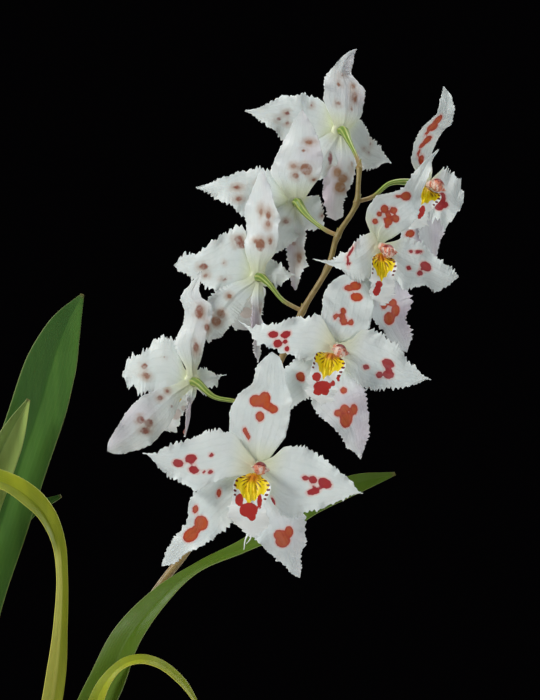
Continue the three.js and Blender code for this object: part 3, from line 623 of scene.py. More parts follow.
@dataclass(frozen=True)
class LeafFinish:
    """A waxy leaf with fine lengthwise veins, a darker midrib, thin pale edges and painted shade on one half.

    It reads `along`, `across`, `rear`, `keel`, which is 1 on the midrib, `sun`, which is 1 on a
    leaf that has turned yellower, and `lit_strip`, 1 on a pale band of painted light along a lit side.
    """

    name: str
    blade: Colour
    shade: Colour
    edge: Colour
    base: Colour
    tip: Colour = paint(110, 100, 60)
    sunny: Colour = paint(84, 108, 20)

    def material(self) -> Material:
        """The finish as a material."""
        nodes = Nodes(self.name, Subsurface_Weight=0.06, Subsurface_Scale=0.001, Specular_IOR_Level=0.16)
        across, along = nodes.field("across"), nodes.field("along")
        streaks = nodes.noise(60, 3, nodes.stretched(3, 3, 0.25))
        body = nodes.over(self.blade, self.shade, streaks, 0.35, 0.7, 0.4)
        veins = nodes.lines("across", 44, nodes.times(nodes.noise(220), 1.6), 0.2)
        body = nodes.tint(body, self.edge, veins, 0.03)
        # Painted shade: the half of the fold where `across` is above 0 is darkened, as the half turned from
        # the light
        body = nodes.over(body, self.shade, across, -0.05, 0.1, 0.45)
        body = nodes.tint(body, self.shade, nodes.field("keel"), 0.55)
        body = nodes.tint(body, self.sunny, nodes.field("sun"), 0.75)
        # Painted light: a pale band where one side of the leaf faces the light
        body = nodes.mix(nodes.field("lit_strip"), body, self.edge)
        body = nodes.over(body, self.edge, nodes.times(across, across), 0.9, 0.99, 0.7)
        body = nodes.over(body, self.base, along, 0.3, 0.0, 0.8)
        body = nodes.over(body, self.tip, along, 0.985, 1.0, 0.8)
        body = nodes.tint(body, self.edge, nodes.field("rear"), 0.35)
        nodes.bump(nodes.sum(nodes.times(veins, 0.6), nodes.times(nodes.noise(900), 0.4)), 0.03)
        return nodes.done(body, nodes.rise(nodes.noise(120), 0.3, 0.7, 0.42, 0.56))


@dataclass(frozen=True)
class StemFinish:
    """The spike: tan with brown flecks, turning to green stalks with pale ribs.

    It reads `green`, which is 1 where the stem is young, and `rib`, 1 along a rib.
    """

    name: str = "stem"
    tan: Colour = paint(150, 127, 76)
    fleck: Colour = paint(120, 95, 54)
    green: Colour = paint(108, 140, 44)
    pale: Colour = paint(176, 186, 104)

    def material(self) -> Material:
        """The finish as a material."""
        nodes = Nodes(self.name, Roughness=0.42, Subsurface_Weight=0.1, Subsurface_Scale=0.001)
        grain = nodes.noise(420, 3)
        bark = nodes.over(self.tan, self.fleck, grain, 0.48, 0.7, 0.7)
        stripes = nodes.sum(nodes.field("rib"), nodes.times(grain, 0.8))
        stalk = nodes.over(self.green, self.pale, stripes, 0.2, 1.0)
        nodes.bump(grain, 0.05)
        return nodes.done(nodes.over(bark, stalk, nodes.field("green"), 0.1, 0.75))


@dataclass(frozen=True)
class BulbFinish:
    """A pseudobulb: smooth green, streaked and freckled, and brown where it meets the bark."""

    name: str = "pseudobulb"
    green: Colour = paint(122, 148, 68)
    streak: Colour = paint(94, 120, 50)
    freckle: Colour = paint(104, 78, 52)
    husk: Colour = paint(112, 84, 54)

    def material(self) -> Material:
        """The finish as a material."""
        nodes = Nodes(self.name, Roughness=0.38, Subsurface_Weight=0.08, Subsurface_Scale=0.0015)
        streaks = nodes.noise(180, 3, nodes.stretched(2, 2, 0.25))
        body = nodes.over(self.green, self.streak, streaks, 0.35, 0.7)
        body = nodes.over(body, self.freckle, nodes.noise(700), 0.58, 0.7, 0.6)
        uneven_height = nodes.sum(nodes.height(), nodes.times(nodes.noise(120), 0.02))
        body = nodes.over(body, self.husk, uneven_height, 0.122, 0.106)
        nodes.bump(streaks, 0.25)
        return nodes.done(body)


@dataclass(frozen=True)
class ClayFinish:
    """Unglazed terracotta with faint throwing rings, fine grit and pale lime bloom."""

    name: str = "terracotta"
    clay: Colour = paint(184, 106, 74)
    cloud: Colour = paint(168, 92, 62)
    ring: Colour = paint(198, 124, 92)
    lime: Colour = paint(214, 190, 172)
    grit: Colour = paint(140, 76, 52)

    def material(self) -> Material:
        """The finish as a material."""
        nodes = Nodes(self.name, Roughness=0.88)
        rings = nodes.noise(140, 2, nodes.stretched(0.15, 0.15, 2.0))
        body = nodes.over(self.clay, self.cloud, nodes.noise(16, 4), 0.4, 0.68)
        body = nodes.over(body, self.ring, rings, 0.4, 0.7, 0.35)
        bloom = nodes.rise(nodes.noise(38, 5, rough=0.62), 0.5, 0.72, 0, 0.55)
        low = nodes.rise(nodes.height(), 0.09, 0.01, 0.25, 1)
        body = nodes.mix(nodes.times(bloom, low), body, self.lime)
        grit = nodes.noise(1600)
        body = nodes.over(body, self.grit, grit, 0.62, 0.7, 0.4)
        nodes.bump(nodes.sum(nodes.times(rings, 1.5), grit), 0.22)
        return nodes.done(body)


@dataclass(frozen=True)
class BarkFinish:
    """Dry orchid bark, red-brown with dark cracks and dust. It reads `chip`, one value a chip."""

    name: str = "bark"
    brown: Colour = paint(96, 62, 42)
    russet: Colour = paint(134, 94, 66)
    crack: Colour = paint(58, 36, 26)
    dust: Colour = paint(158, 128, 98)

    def material(self) -> Material:
        """The finish as a material."""
        nodes = Nodes(self.name, Roughness=0.92)
        grain = nodes.noise(260, 5, nodes.stretched(1, 2.6, 1), rough=0.6)
        body = nodes.mix(nodes.field("chip"), self.brown, self.russet)
        body = nodes.over(body, self.crack, grain, 0.5, 0.66)
        body = nodes.over(body, self.dust, nodes.noise(60, 3), 0.55, 0.72, 0.5)
        nodes.bump(grain, 0.7)
        return nodes.done(body)


@dataclass(frozen=True)
class BladeKind:
    """The form that one kind of sepal or petal has on every bloom.

    Attributes:
        draws: How many draws its solid takes before the one that sets its waves.
        peak: The share of the length where a blade with no outline is widest.
        fullness: How fast it narrows from there.
        claw: Its width at the base.
        wave: The height of the broad waves along its edges.
        cup: How far its edges rise over its middle.
        layer: How far it stands in front of the bloom's own plane.
        teeth: The depth of the teeth along its edges.
        ruffle: The height of the small waves between the broad ones.
    """

    draws: int
    peak: float
    fullness: float
    claw: float
    wave: float
    cup: float
    layer: float
    teeth: float
    ruffle: float


DORSAL = BladeKind(10, 0.5, 1.65, 5, 1.3, 0.8, 0, 0.3, 0.6)
LATERAL = BladeKind(10, 0.46, 1.7, 5, 1.2, 0.6, 0, 0.65, 0.7)
PETAL = BladeKind(11, 0.44, 1.7, 5, 1.5, 0.4, 2.6, 1.0, 1.0)


@dataclass(frozen=True)
class Blade:
    """One sepal or petal of a bloom.

    Attributes:
        kind: Its form.
        tip: How far its tip lies across and up from the centre, seen from the plant's front.
        lift: How far its tip bends out of the bloom's plane, forward being positive.
        width: Its greatest width, where it has no outline.
        turn: The turn of its outer part about its own length, in degrees.
        sway: How far it bends forward and then back along its length.
        outline: Stations of its outline.
        spots: Its spots.
        flush: How strongly lilac shows on it, from 0 to 1.
        tone: 0 where its spots are mauve from behind and 1 where they are tan.
        ragged: How deep its teeth are against the usual ones of its kind.
    """

    kind: BladeKind
    tip: tuple[float, float]
    lift: float
    width: float
    turn: float = 0
    sway: float = 0
    outline: tuple[Station, ...] = ()
    spots: tuple[Spot, ...] = ()
    flush: float = 0
    tone: float = 0
    ragged: float = 1


@dataclass(frozen=True)
class Bloom:
    """One flower: three sepals, two petals, the lip and the column.

    Attributes:
        number: Its number, 1 to 8.
        centre: Where its blades meet.
        facing: The way it faces.
        lip_breadth: The breadth of its lip against the broadest.
        lip: How far the tip of its lip lies across and up from the centre.
        sepals: The dorsal sepal and then the two lateral ones.
        petals: The two petals.
        blotches: The blotches on its lip.
        lip_sway: How far the middle of its lip hangs to the left.
        droop: How far its lip and column sink at their foremost.
        threads: The lengths of the threads that its lip ends in.
    """

    number: int
    centre: Point
    facing: Point
    lip_breadth: float
    lip: tuple[float, float]
    sepals: tuple[Blade, ...]
    petals: tuple[Blade, ...]
    blotches: tuple[Spot, ...] = ()
    lip_sway: float = 0
    droop: float = 0
    threads: tuple[float, ...] = ()

    ROWS = 180
    COLUMNS = 21
    ROOT = 1
    WAVES = 2.6
    EDGE_LEAD = 1.9
    LIFT_POWER = 2.3
    TIP_HALF_WIDTH = 0.22
    LEAST_HALF_WIDTH = 0.3
    # How far a blade's edge strays from its outline: the height and pitch of slow swells and of
    # small lobes, the pitch and depth of two rows of teeth, and how far in the teeth start
    SWELLS = ((0.8, 6.5), (0.75, 2.9))
    TEETH = ((2.0, 2.2), (0.95, 0.9))
    TEETH_FOOT = 1.1
    # How much a tooth may draw the blade's pattern with it, and the least width that this counts
    PULL = 0.3
    PULL_WIDTH = 1.5
    # The small waves: how far they slant back towards the edge, and their pitch on each side
    RIPPLE_SLANT = 0.55
    RIPPLE_PITCH = (2.9, 2.5)
    DENT_PITCH = 8
    DENT_HEIGHT = 0.35
    KEEL_WIDTH = 0.1
    KEEL_DEPTH = 0.3
    EDGE_THICKNESS = 0.22
    SPOT_MELT = 0.05
    SPOT_DEPTH = 2.0
    HUB_RADIUS = 3.4
    SEPAL_HUB = (-0.6, 0.6)
    PETAL_HUB = (0.9, 3.2)

    @property
    def middle(self) -> Array:
        """The centre as an array."""
        return np.asarray(self.centre, float)

    @property
    def front(self) -> Array:
        """The facing direction at length 1."""
        return unit(np.asarray(self.facing, float))

    @property
    def seed(self) -> int:
        """The number that the bloom's solids start their draws from."""
        return 100 * self.number

    def reach(self, across: float, up: float, lift: float = 0) -> Array:
        """The way from the centre to a point given as the photo's side sees it, less its lift.

        The depth follows from the bloom's plane: (lift - across * x - up * z) / y, where x, y and
        z are the facing direction.
        """
        x, y, z = self.front
        depth = (lift - across * x - up * z) / y
        return np.array([across, depth, up]) - lift * self.front

    def outline_of(self, blade: Blade, along: Array) -> tuple[Array, Array]:
        """How far a blade reaches from its axis.

        A blade with no outline of its own narrows to both ends from its peak p: its half width is
        (along / p)^(f * p) * ((1 - along) / (1 - p))^(f * (1 - p)), where f is its fullness.

        Args:
            blade: The blade.
            along: Shares of its length.

        Returns:
            Its reach to the left and to the right at each share.
        """
        kind = blade.kind
        if blade.outline:
            stations = ((0.0, kind.claw / 2, kind.claw / 2), *blade.outline)
            if stations[-1][0] < 1:
                stations += ((1.0, self.TIP_HALF_WIDTH, self.TIP_HALF_WIDTH),)
            places, left, right = zip(*stations)
            return smooth_through(places, left, along), smooth_through(places, right, along)
        grown = (along / kind.peak) ** (kind.fullness * kind.peak)
        fading = ((1 - along) / (1 - kind.peak)) ** (kind.fullness * (1 - kind.peak))
        claw = kind.claw / 2 * (1 - along)
        least = np.full_like(along, self.LEAST_HALF_WIDTH)
        half = np.maximum.reduce([blade.width / 2 * grown * fading, claw, least])
        return half, half

    def ragged(
        self, rng: np.random.Generator, blade: Blade, run: Array, half: Array
    ) -> Array:
        """How far one edge's teeth reach in or out: swells + lobes + teeth, where there is room."""
        swells, lobes = (height * wander(rng, run, pitch) for height, pitch in self.SWELLS)
        large, small = (slanted_teeth(rng, run, pitch, depth) for pitch, depth in self.TEETH)
        room = smooth_rise(0.14, 0.4, run / run.max()) * np.clip(half / 3, 0.15, 1)
        points = large + small - self.TEETH_FOOT
        return blade.kind.teeth * blade.ragged * (swells + lobes + points) * room

    def spot_field(self, spots: tuple[Spot, ...], points: Array) -> Array:
        """The distance of each point from the nearest spot's edge, in millimetres.

        A spot is an ellipse on the blade, centred on the point that the viewer sees at its place.
        Spots that touch melt into one: d = -k * log(sum(exp(-d_i / k))).

        Args:
            spots: The spots.
            points: The blade's grid of points.

        Returns:
            The distances, negative inside a spot.
        """
        if not spots:
            return np.full(points.shape[:2], NO_SPOT)
        total = np.zeros(points.shape[:2])
        for across, up, length, breadth, *tilt in spots:
            seen = points[..., [0, 2]] - (self.middle[[0, 2]] + (across, up))
            nearest = points.reshape(-1, 3)[(seen**2).sum(axis=-1).argmin()]
            angle = math.radians(tilt[0] if tilt else 0)
            axis = unit(self.reach(math.cos(angle), math.sin(angle)))
            away = points - nearest
            u, v = away @ axis / length, away @ np.cross(self.front, axis) / breadth
            w = away @ self.front / max(length, self.SPOT_DEPTH)
            distance = (np.sqrt(u * u + v * v + w * w) - 1) * min(length, breadth)
            total += np.exp(-np.clip(distance, -6, 6) / self.SPOT_MELT)
        return -self.SPOT_MELT * np.log(total)

    def blade_shell(self, blade: Blade, order: int) -> Shell:
        """A sepal or petal.

        The middle line runs from the root to the tip, bent out of the bloom's plane by the lift
        times along^2.3. The sheet spans its outline, turns about its length, cups, and waves at
        its edges: rise = cup * t^2 * sin(pi * along) + wave * sin(2 pi * waves * along + phase) *
        frill, where t runs from -1 to 1 across and the frill grows with t^2. Small ripples, dents
        and a keel come on top of it.

        Args:
            blade: The blade.
            order: Its place among the bloom's draws, 1 to 5.

        Returns:
            The shell, with its fields.
        """
        kind, front = blade.kind, self.front
        reach = self.reach(*blade.tip, blade.lift)
        length = float(np.linalg.norm(reach))
        outward = reach / length
        rng = np.random.default_rng(self.seed + order)
        run = np.linspace(self.ROOT, length, self.ROWS)[:, None]
        along = run / length
        across = eased_columns(self.COLUMNS)
        left, right = self.outline_of(blade, along[:, 0])
        line = run[:, 0]
        half = (left + right) / 2
        toothed = np.where(
            across > 0,
            (left + self.ragged(rng, blade, line, half))[:, None],
            (right + self.ragged(rng, blade, line, half))[:, None],
        )
        smooth = np.where(across > 0, left[:, None], right[:, None])
        offset = across * toothed + (1 - across**2) * (left - right)[:, None] / 2
        pull = np.clip((toothed - smooth) / np.maximum(smooth, self.PULL_WIDTH), -self.PULL, self.PULL)
        place = across * (1 + pull)
        side_share = place**2
        frill = smooth_rise(0.25, 0.55, along) * side_share
        phase = 2 * np.pi * solid_draw(self.seed + order, kind.draws)
        lead = np.where(across < 0, self.EDGE_LEAD, 0)
        broad = np.sin(2 * np.pi * self.WAVES * along + phase + lead)
        swept = np.maximum(run - self.RIPPLE_SLANT * half[:, None] * np.abs(place), 0)
        ripple = np.where(across < 0, *(wander(rng, swept, pitch) for pitch in self.RIPPLE_PITCH))
        dents = wander(rng, line, self.DENT_PITCH)[:, None] * np.sin(2.2 * across + phase)
        keel = np.exp(-((place / self.KEEL_WIDTH) ** 2)) * smooth_rise(1.0, 0.6, along)
        rise = (
            kind.cup * side_share * np.sin(np.pi * along)
            + kind.wave * broad * frill * (1 - along**4)
            + kind.ruffle * ripple * smooth_rise(0.15, 0.4, along) * np.minimum(np.abs(place), 1) ** 4
            + self.DENT_HEIGHT * (dents * smooth_rise(0.2, 0.5, along)) * (1 - across**2)
            - self.KEEL_DEPTH * keel
        )
        bend = blade.sway * np.sin(2 * np.pi * along) * smooth_rise(0.05, 0.3, along)
        height = kind.layer + blade.lift * along**self.LIFT_POWER + bend
        twist = np.radians(blade.turn) * smooth_rise(0.15, 0.5, along)
        side, normal = turned(np.cross(front, outward), front, twist[..., None])
        points = (
            self.middle
            + run[..., None] * outward
            + height[..., None] * front
            + offset[..., None] * side
            + rise[..., None] * normal
        )
        stout = self.EDGE_THICKNESS + (0.16 + 0.5 * (1 - along)) * (1 - np.abs(across) ** 2.5)
        flush = smooth_rise(0.15, 0.5, along) * (0.35 + 0.65 * smooth_rise(-0.5, 0.5, across))
        fields = {
            "spot": self.spot_field(blade.spots, points),
            "tone": blade.tone,
            "along": along,
            "across": place,
            "flush": blade.flush * flush,
        }
        return sheet_shell(points, normal, stout, fields)

    def hub_shell(self, low: float, high: float) -> Shell:
        """A small rounded boss where the blades meet."""
        middle = (low + high) / 2
        half = (high - low) / 2
        turns = np.linspace(0, np.pi, 9)[1:-1]
        path = self.middle + np.outer(middle - half * np.cos(turns), self.front)
        radii = self.HUB_RADIUS * np.sqrt(np.sin(turns))
        return tube_shell(path, radii, 24).filled(spot=NO_SPOT)

    def build(self, finishes: dict[str, Material]) -> None:
        """Makes the bloom's four pieces."""
        shells = [self.blade_shell(blade, 1 + order) for order, blade in enumerate(self.sepals + self.petals)]
        count = len(self.sepals)
        pieces = {
            "sepal": Shell.joined([*shells[:count], self.hub_shell(*self.SEPAL_HUB)]),
            "petal": Shell.joined([*shells[count:], self.hub_shell(*self.PETAL_HUB)]),
            "lip": Lip(self).shell(),
            "column": Column(self).shell(),
        }
        ends = {"sepal": "sepals", "petal": "petals"}
        for slot, shell in pieces.items():
            shell.made(f"bloom_{self.number}_{ends.get(slot, slot)}", slot, finishes[slot])


@dataclass(frozen=True)
class Lip:
    """The lip of a bloom, with its callus."""

    bloom: Bloom

    LENGTH = 27
    # The middle line, as steps down and forward, and the half width at shares of the length
    LINE = ((1.8, 3.5), (2.5, 6.6), (6, 10), (12.5, 11), (19.5, 9.6), (27, 6))
    STATIONS = (
        (0, 1.6), (0.15, 3.8), (0.32, 7.8), (0.46, 7.0), (0.56, 7.4), (0.7, 8.4), (0.86, 6.6),
        (0.95, 2.6), (1, 0.5),
    )
    ROWS = 84
    COLUMNS = 35
    SIDE_LOBE_RISE = 2.6
    WAVES = 3
    WAVE_HEIGHT = 1.1
    RIPPLE_HEIGHT = 0.7
    RIDGE_HEIGHT = 0.45
    TEETH = 2.6
    SWAY_POWER = 0.8
    DROOP_REACH = 8.5
    # Where the rays spread from, and where the yellow ends in the middle, as shares of the length
    THROAT = 0.16
    YELLOW_END = 0.53
    DOT_PITCH = 1.5
    # Teeth of the callus: the share along the lip, the step to the side, the length, the radius
    # and the field `reach` that colours each
    CALLUS = (
        (0.3, -1.1, 4.2, 0.8, 3), (0.3, 1.1, 4.2, 0.8, 3), (0.4, -1.9, 3.2, 0.45, 6),
        (0.4, 1.9, 3.2, 0.45, 6), (0.42, 0, 4.4, 0.7, 6),
    )
    FINE_STEPS = 100
    THREAD_ROOT = 96

    def frame_of(self) -> tuple[Array, Array]:
        """The ways down and to the side of the lip."""
        down = unit(self.bloom.reach(*self.bloom.lip))
        return down, np.cross(self.bloom.front, down)

    def place(self, steps: Array | float, forward: Array | float) -> Array:
        """Points of the lip, sunk by the droop: steps + droop * (forward - hub) / reach."""
        down, _ = self.frame_of()
        bloom = self.bloom
        sunk = steps + bloom.droop * (forward - bloom.PETAL_HUB[1]) / self.DROOP_REACH
        return bloom.middle + np.multiply.outer(sunk, down) + np.multiply.outer(forward, bloom.front)

    def sway(self, along: Array) -> Array:
        """How far the lip hangs to its side: -sway * sin(pi * along^0.8)."""
        return -self.bloom.lip_sway * np.sin(np.pi * along**self.SWAY_POWER)

    def line(self, count: int) -> Array:
        """The middle line of the lip, stretched to the place of its tip."""
        scale = math.hypot(*self.bloom.lip) / self.LENGTH
        root, *rest = self.LINE
        points = [(*root, 0.0), *((down * scale, forward, 0.0) for down, forward in rest)]
        return curve_through(points, count, even=True)[:, :2]

    def edge(self, rng: np.random.Generator, run: Array, half: Array) -> Array:
        """The reach of one edge, fringed from the front lobe's waist on."""
        room = smooth_rise(0.42, 0.6, run / self.LENGTH)
        points = slanted_teeth(rng, run, 1.5, 1.0) + slanted_teeth(rng, run, 0.8, 0.4)
        return (half + self.TEETH * room * (points + 0.5 * wander(rng, run, 3.4) - 0.4))[:, None]

    def marks(self, along: Array, across: Array, spread: Array) -> dict[str, Array]:
        """Where the colours of the lip lie.

        The yellow ends at a limit that falls towards the margins and is a little scalloped, the
        rays spread from the throat, and the dots stand in a band by the margins, as the cosine of
        the distance says.

        Args:
            along: The share of the length, as a column.
            across: From -1 to 1, as a row.
            spread: How far each point lies from the middle line.

        Returns:
            The fields `throat`, `ray`, `reach`, `rayed` and `dot`.
        """
        out = np.abs(across)
        from_throat = along * self.LENGTH - self.THROAT * self.LENGTH
        scallop = np.abs((across * 2.6 + 0.1) % 1 - 0.5) * 2
        limit = self.YELLOW_END + 0.05 * scallop**2 - 0.25 * out
        band = smooth_rise(0.12, 0.05, np.abs(out - 0.88)) * smooth_rise(0.1, 0.16, along)
        dots = smooth_rise(-0.1, 0.7, np.cos(2 * np.pi * (along * self.LENGTH) / self.DOT_PITCH))
        return {
            "throat": smooth_rise(-0.03, 0.03, limit - along) * smooth_rise(1.08, 0.86, out),
            "ray": np.arctan2(spread, from_throat),
            "reach": np.hypot(spread, from_throat),
            "rayed": smooth_rise(0.14, 0.3, out),
            "dot": dots * band * smooth_rise(0.52, 0.44, along),
        }

    def sheet(self) -> Shell:
        """The lip itself: side lobes that stand up round the throat, and a waved front lobe.

        rise = lobe * t^2 + wave * sin(2 pi * waves * along + phase + t) * frill + ripples * frill
        + ridges, where t runs from -1 to 1 across and the frill is t^2 on the front lobe.
        """
        bloom = self.bloom
        down, side = self.frame_of()
        rng = np.random.default_rng(bloom.seed + 6)
        line = self.line(self.ROWS)
        tangent = unit(np.gradient(line, axis=0))
        along = np.linspace(0, 1, self.ROWS)[:, None]
        across = eased_columns(self.COLUMNS)
        half = smooth_through(*zip(*self.STATIONS), along[:, 0]) * bloom.lip_breadth
        run = along[:, 0] * self.LENGTH
        reach = np.where(across > 0, *(self.edge(rng, run, half) for _ in range(2)))
        frill = smooth_rise(0.45, 0.7, along) * across**2
        phase = 2 * np.pi * solid_draw(bloom.seed + 6, 1)
        lobe = smooth_rise(0.1, 0.3, along) * smooth_rise(0.55, 0.35, along)
        ridge = np.cos(across * 13) * np.exp(-((across / 0.6) ** 2)) * smooth_rise(0.1, 0.2, along)
        ripple = np.where(across > 0, *(wander(rng, run, pitch)[:, None] for pitch in (2.2, 2.0)))
        waves = np.sin(2 * np.pi * self.WAVES * along + phase + across)
        rise = (
            self.SIDE_LOBE_RISE * across**2 * lobe
            + self.WAVE_HEIGHT * waves * frill * (1 - along**3)
            + self.RIPPLE_HEIGHT * ripple * frill
            + self.RIDGE_HEIGHT * ridge * smooth_rise(0.52, 0.4, along)
        )
        normal = (-tangent[:, 1, None] * down + tangent[:, 0, None] * bloom.front)[:, None]
        points = (
            self.place(line[:, 0], line[:, 1])[:, None]
            + (across * reach + self.sway(along))[..., None] * side
            + rise[..., None] * normal
        )
        fields = self.marks(along, across, across * half[:, None])
        fields["spot"] = bloom.spot_field(bloom.blotches or self.usual_blotches(), points)
        stout = 0.25 + 0.45 * (1 - np.abs(across) ** 2.5) * (1 - 0.6 * along)
        return sheet_shell(points, normal, stout, fields)

    def usual_blotches(self) -> tuple[Spot, ...]:
        """Three blotches round the foot of the throat, for a lip that faces away."""
        across, up = self.bloom.lip
        return (
            (0.62 * across - 3.8, 0.55 * up, 1.9, 1.5),
            (0.64 * across, 0.66 * up, 3.0, 2.4),
            (0.62 * across + 3.8, 0.55 * up, 1.9, 1.3),
        )

    def callus(self) -> list[Shell]:
        """The callus: two stout teeth in the throat and a crest of small ones below them.

        Each tooth's radius falls as 1 - share^1.6, and its tip bends down with share^2.
        """
        down, side = self.frame_of()
        line = self.line(self.FINE_STEPS)
        share = np.linspace(0, 1, 9)
        teeth = []
        for place, hand, length, radius, reach in self.CALLUS:
            foot = self.place(*line[int(place * (self.FINE_STEPS - 1))]) + (hand + self.sway(place)) * side
            lean = unit(down * (1 + 3 * (place - 0.3)) + 0.8 * self.bloom.front + 0.12 * hand * side)
            path = foot + np.outer(share * length - 1.2, lean) + np.outer(0.5 * share**2, down)
            tooth = tube_shell(path, radius * (1 - share**1.6) + 0.06, 9)
            teeth.append(tooth.filled(spot=NO_SPOT, throat=1, reach=reach))
        return teeth

    def threads(self) -> list[Shell]:
        """The threads that the front lobe ends in: tapered, swung apart and curled back."""
        down, side = self.frame_of()
        foot = self.place(*self.line(self.FINE_STEPS)[self.THREAD_ROOT])
        share = np.linspace(0, 1, 14)
        threads = []
        for hand, length in zip((-1, 1), self.bloom.threads):
            sweep = np.outer(hand * (0.4 + 0.3 * share + 0.5 * np.sin(4 * share)) - 0.9 * share, side)
            curl = np.outer(1.4 * share**2, self.bloom.front)
            path = foot + np.outer(length * share - 0.6, down) + sweep - curl
            threads.append(tube_shell(path, 0.4 - 0.24 * share, 8).filled(spot=NO_SPOT))
        return threads

    def shell(self) -> Shell:
        """The lip, its callus and its threads."""
        return Shell.joined([self.sheet(), *self.callus(), *self.threads()])


@dataclass(frozen=True)
class Column:
    """The column over the lip, with its hood and its two fringed wings."""

    bloom: Bloom

    # The middle line, as steps down and forward, and the radius at shares of the length
    LINE = ((-1.2, 3.5), (-1.4, 8), (-0.6, 10.6), (0.7, 12.2))
    RADII = ((0, 1.6), (0.4, 1.6), (0.66, 2.6), (0.84, 2.7), (0.95, 1.8), (1, 0.7))
    RINGS = 26
    SIDES = 22
    WING_RING = 19
    WING_SPAN = 2.6
    WING_ROOT = 1.3
    WING_HALF_HEIGHT = 1.5
    WING_RAGGED = 0.22

    def shell(self) -> Shell:
        """The post with its swollen hood, and a wing to each side."""
        lip = Lip(self.bloom)
        down, side = lip.frame_of()
        line = curve_through([(*point, 0.0) for point in self.LINE], self.RINGS, even=True)
        path = lip.place(line[:, 0], line[:, 1])
        radii = smooth_through(*zip(*self.RADII), np.linspace(0, 1, self.RINGS))
        post = tube_shell(path, radii, self.SIDES)
        top = (post.points - path.mean(axis=0)) @ -down
        reach = (post.points - self.bloom.middle) @ self.bloom.front
        post.fields["hood"] = smooth_rise(0.1, 1.5, top) * smooth_rise(7.5, 9.5, reach)
        wings = [self.wing(path[self.WING_RING], hand, down, side) for hand in (-1, 1)]
        return Shell.joined([post, *wings])

    def wing(self, root: Array, hand: int, down: Array, side: Array) -> Shell:
        """A thin wing that stands out beside the hood, with a toothed rim.

        It reaches span * (1 - 0.55 * s^2), where s runs from -1 to 1 up its height, and bends by
        0.35 * sin(5 * s) at its rim.

        Args:
            root: The point of the column that it grows from.
            hand: -1 or 1, the side that it stands on.
            down: The way down the lip.
            side: The way to the lip's side.

        Returns:
            The shell.
        """
        rng = np.random.default_rng(self.bloom.seed + 9 + hand)
        out = np.linspace(0, 1, 14)[:, None]
        sweep = np.linspace(-1, 1, 23)[None, :]
        rim = 1 + self.WING_RAGGED * wander(rng, (sweep[0] + 1) * 3, 0.45)[None, :]
        length = self.WING_SPAN * (1 - 0.55 * sweep**2) * rim
        outward = unit(hand * side + 0.25 * self.bloom.front)
        points = (
            root
            + self.WING_ROOT * hand * side
            + (out * length)[..., None] * outward
            + (self.WING_HALF_HEIGHT * sweep * (1 - 0.35 * out))[..., None] * -down
            + (0.35 * np.sin(5 * sweep) * out)[..., None] * self.bloom.front
        )
        hood = 0.5 * smooth_rise(0.2, 1, sweep)
        return sheet_shell(points, unit(np.cross(outward, -down)), 0.5 - 0.3 * out, {"hood": hood})


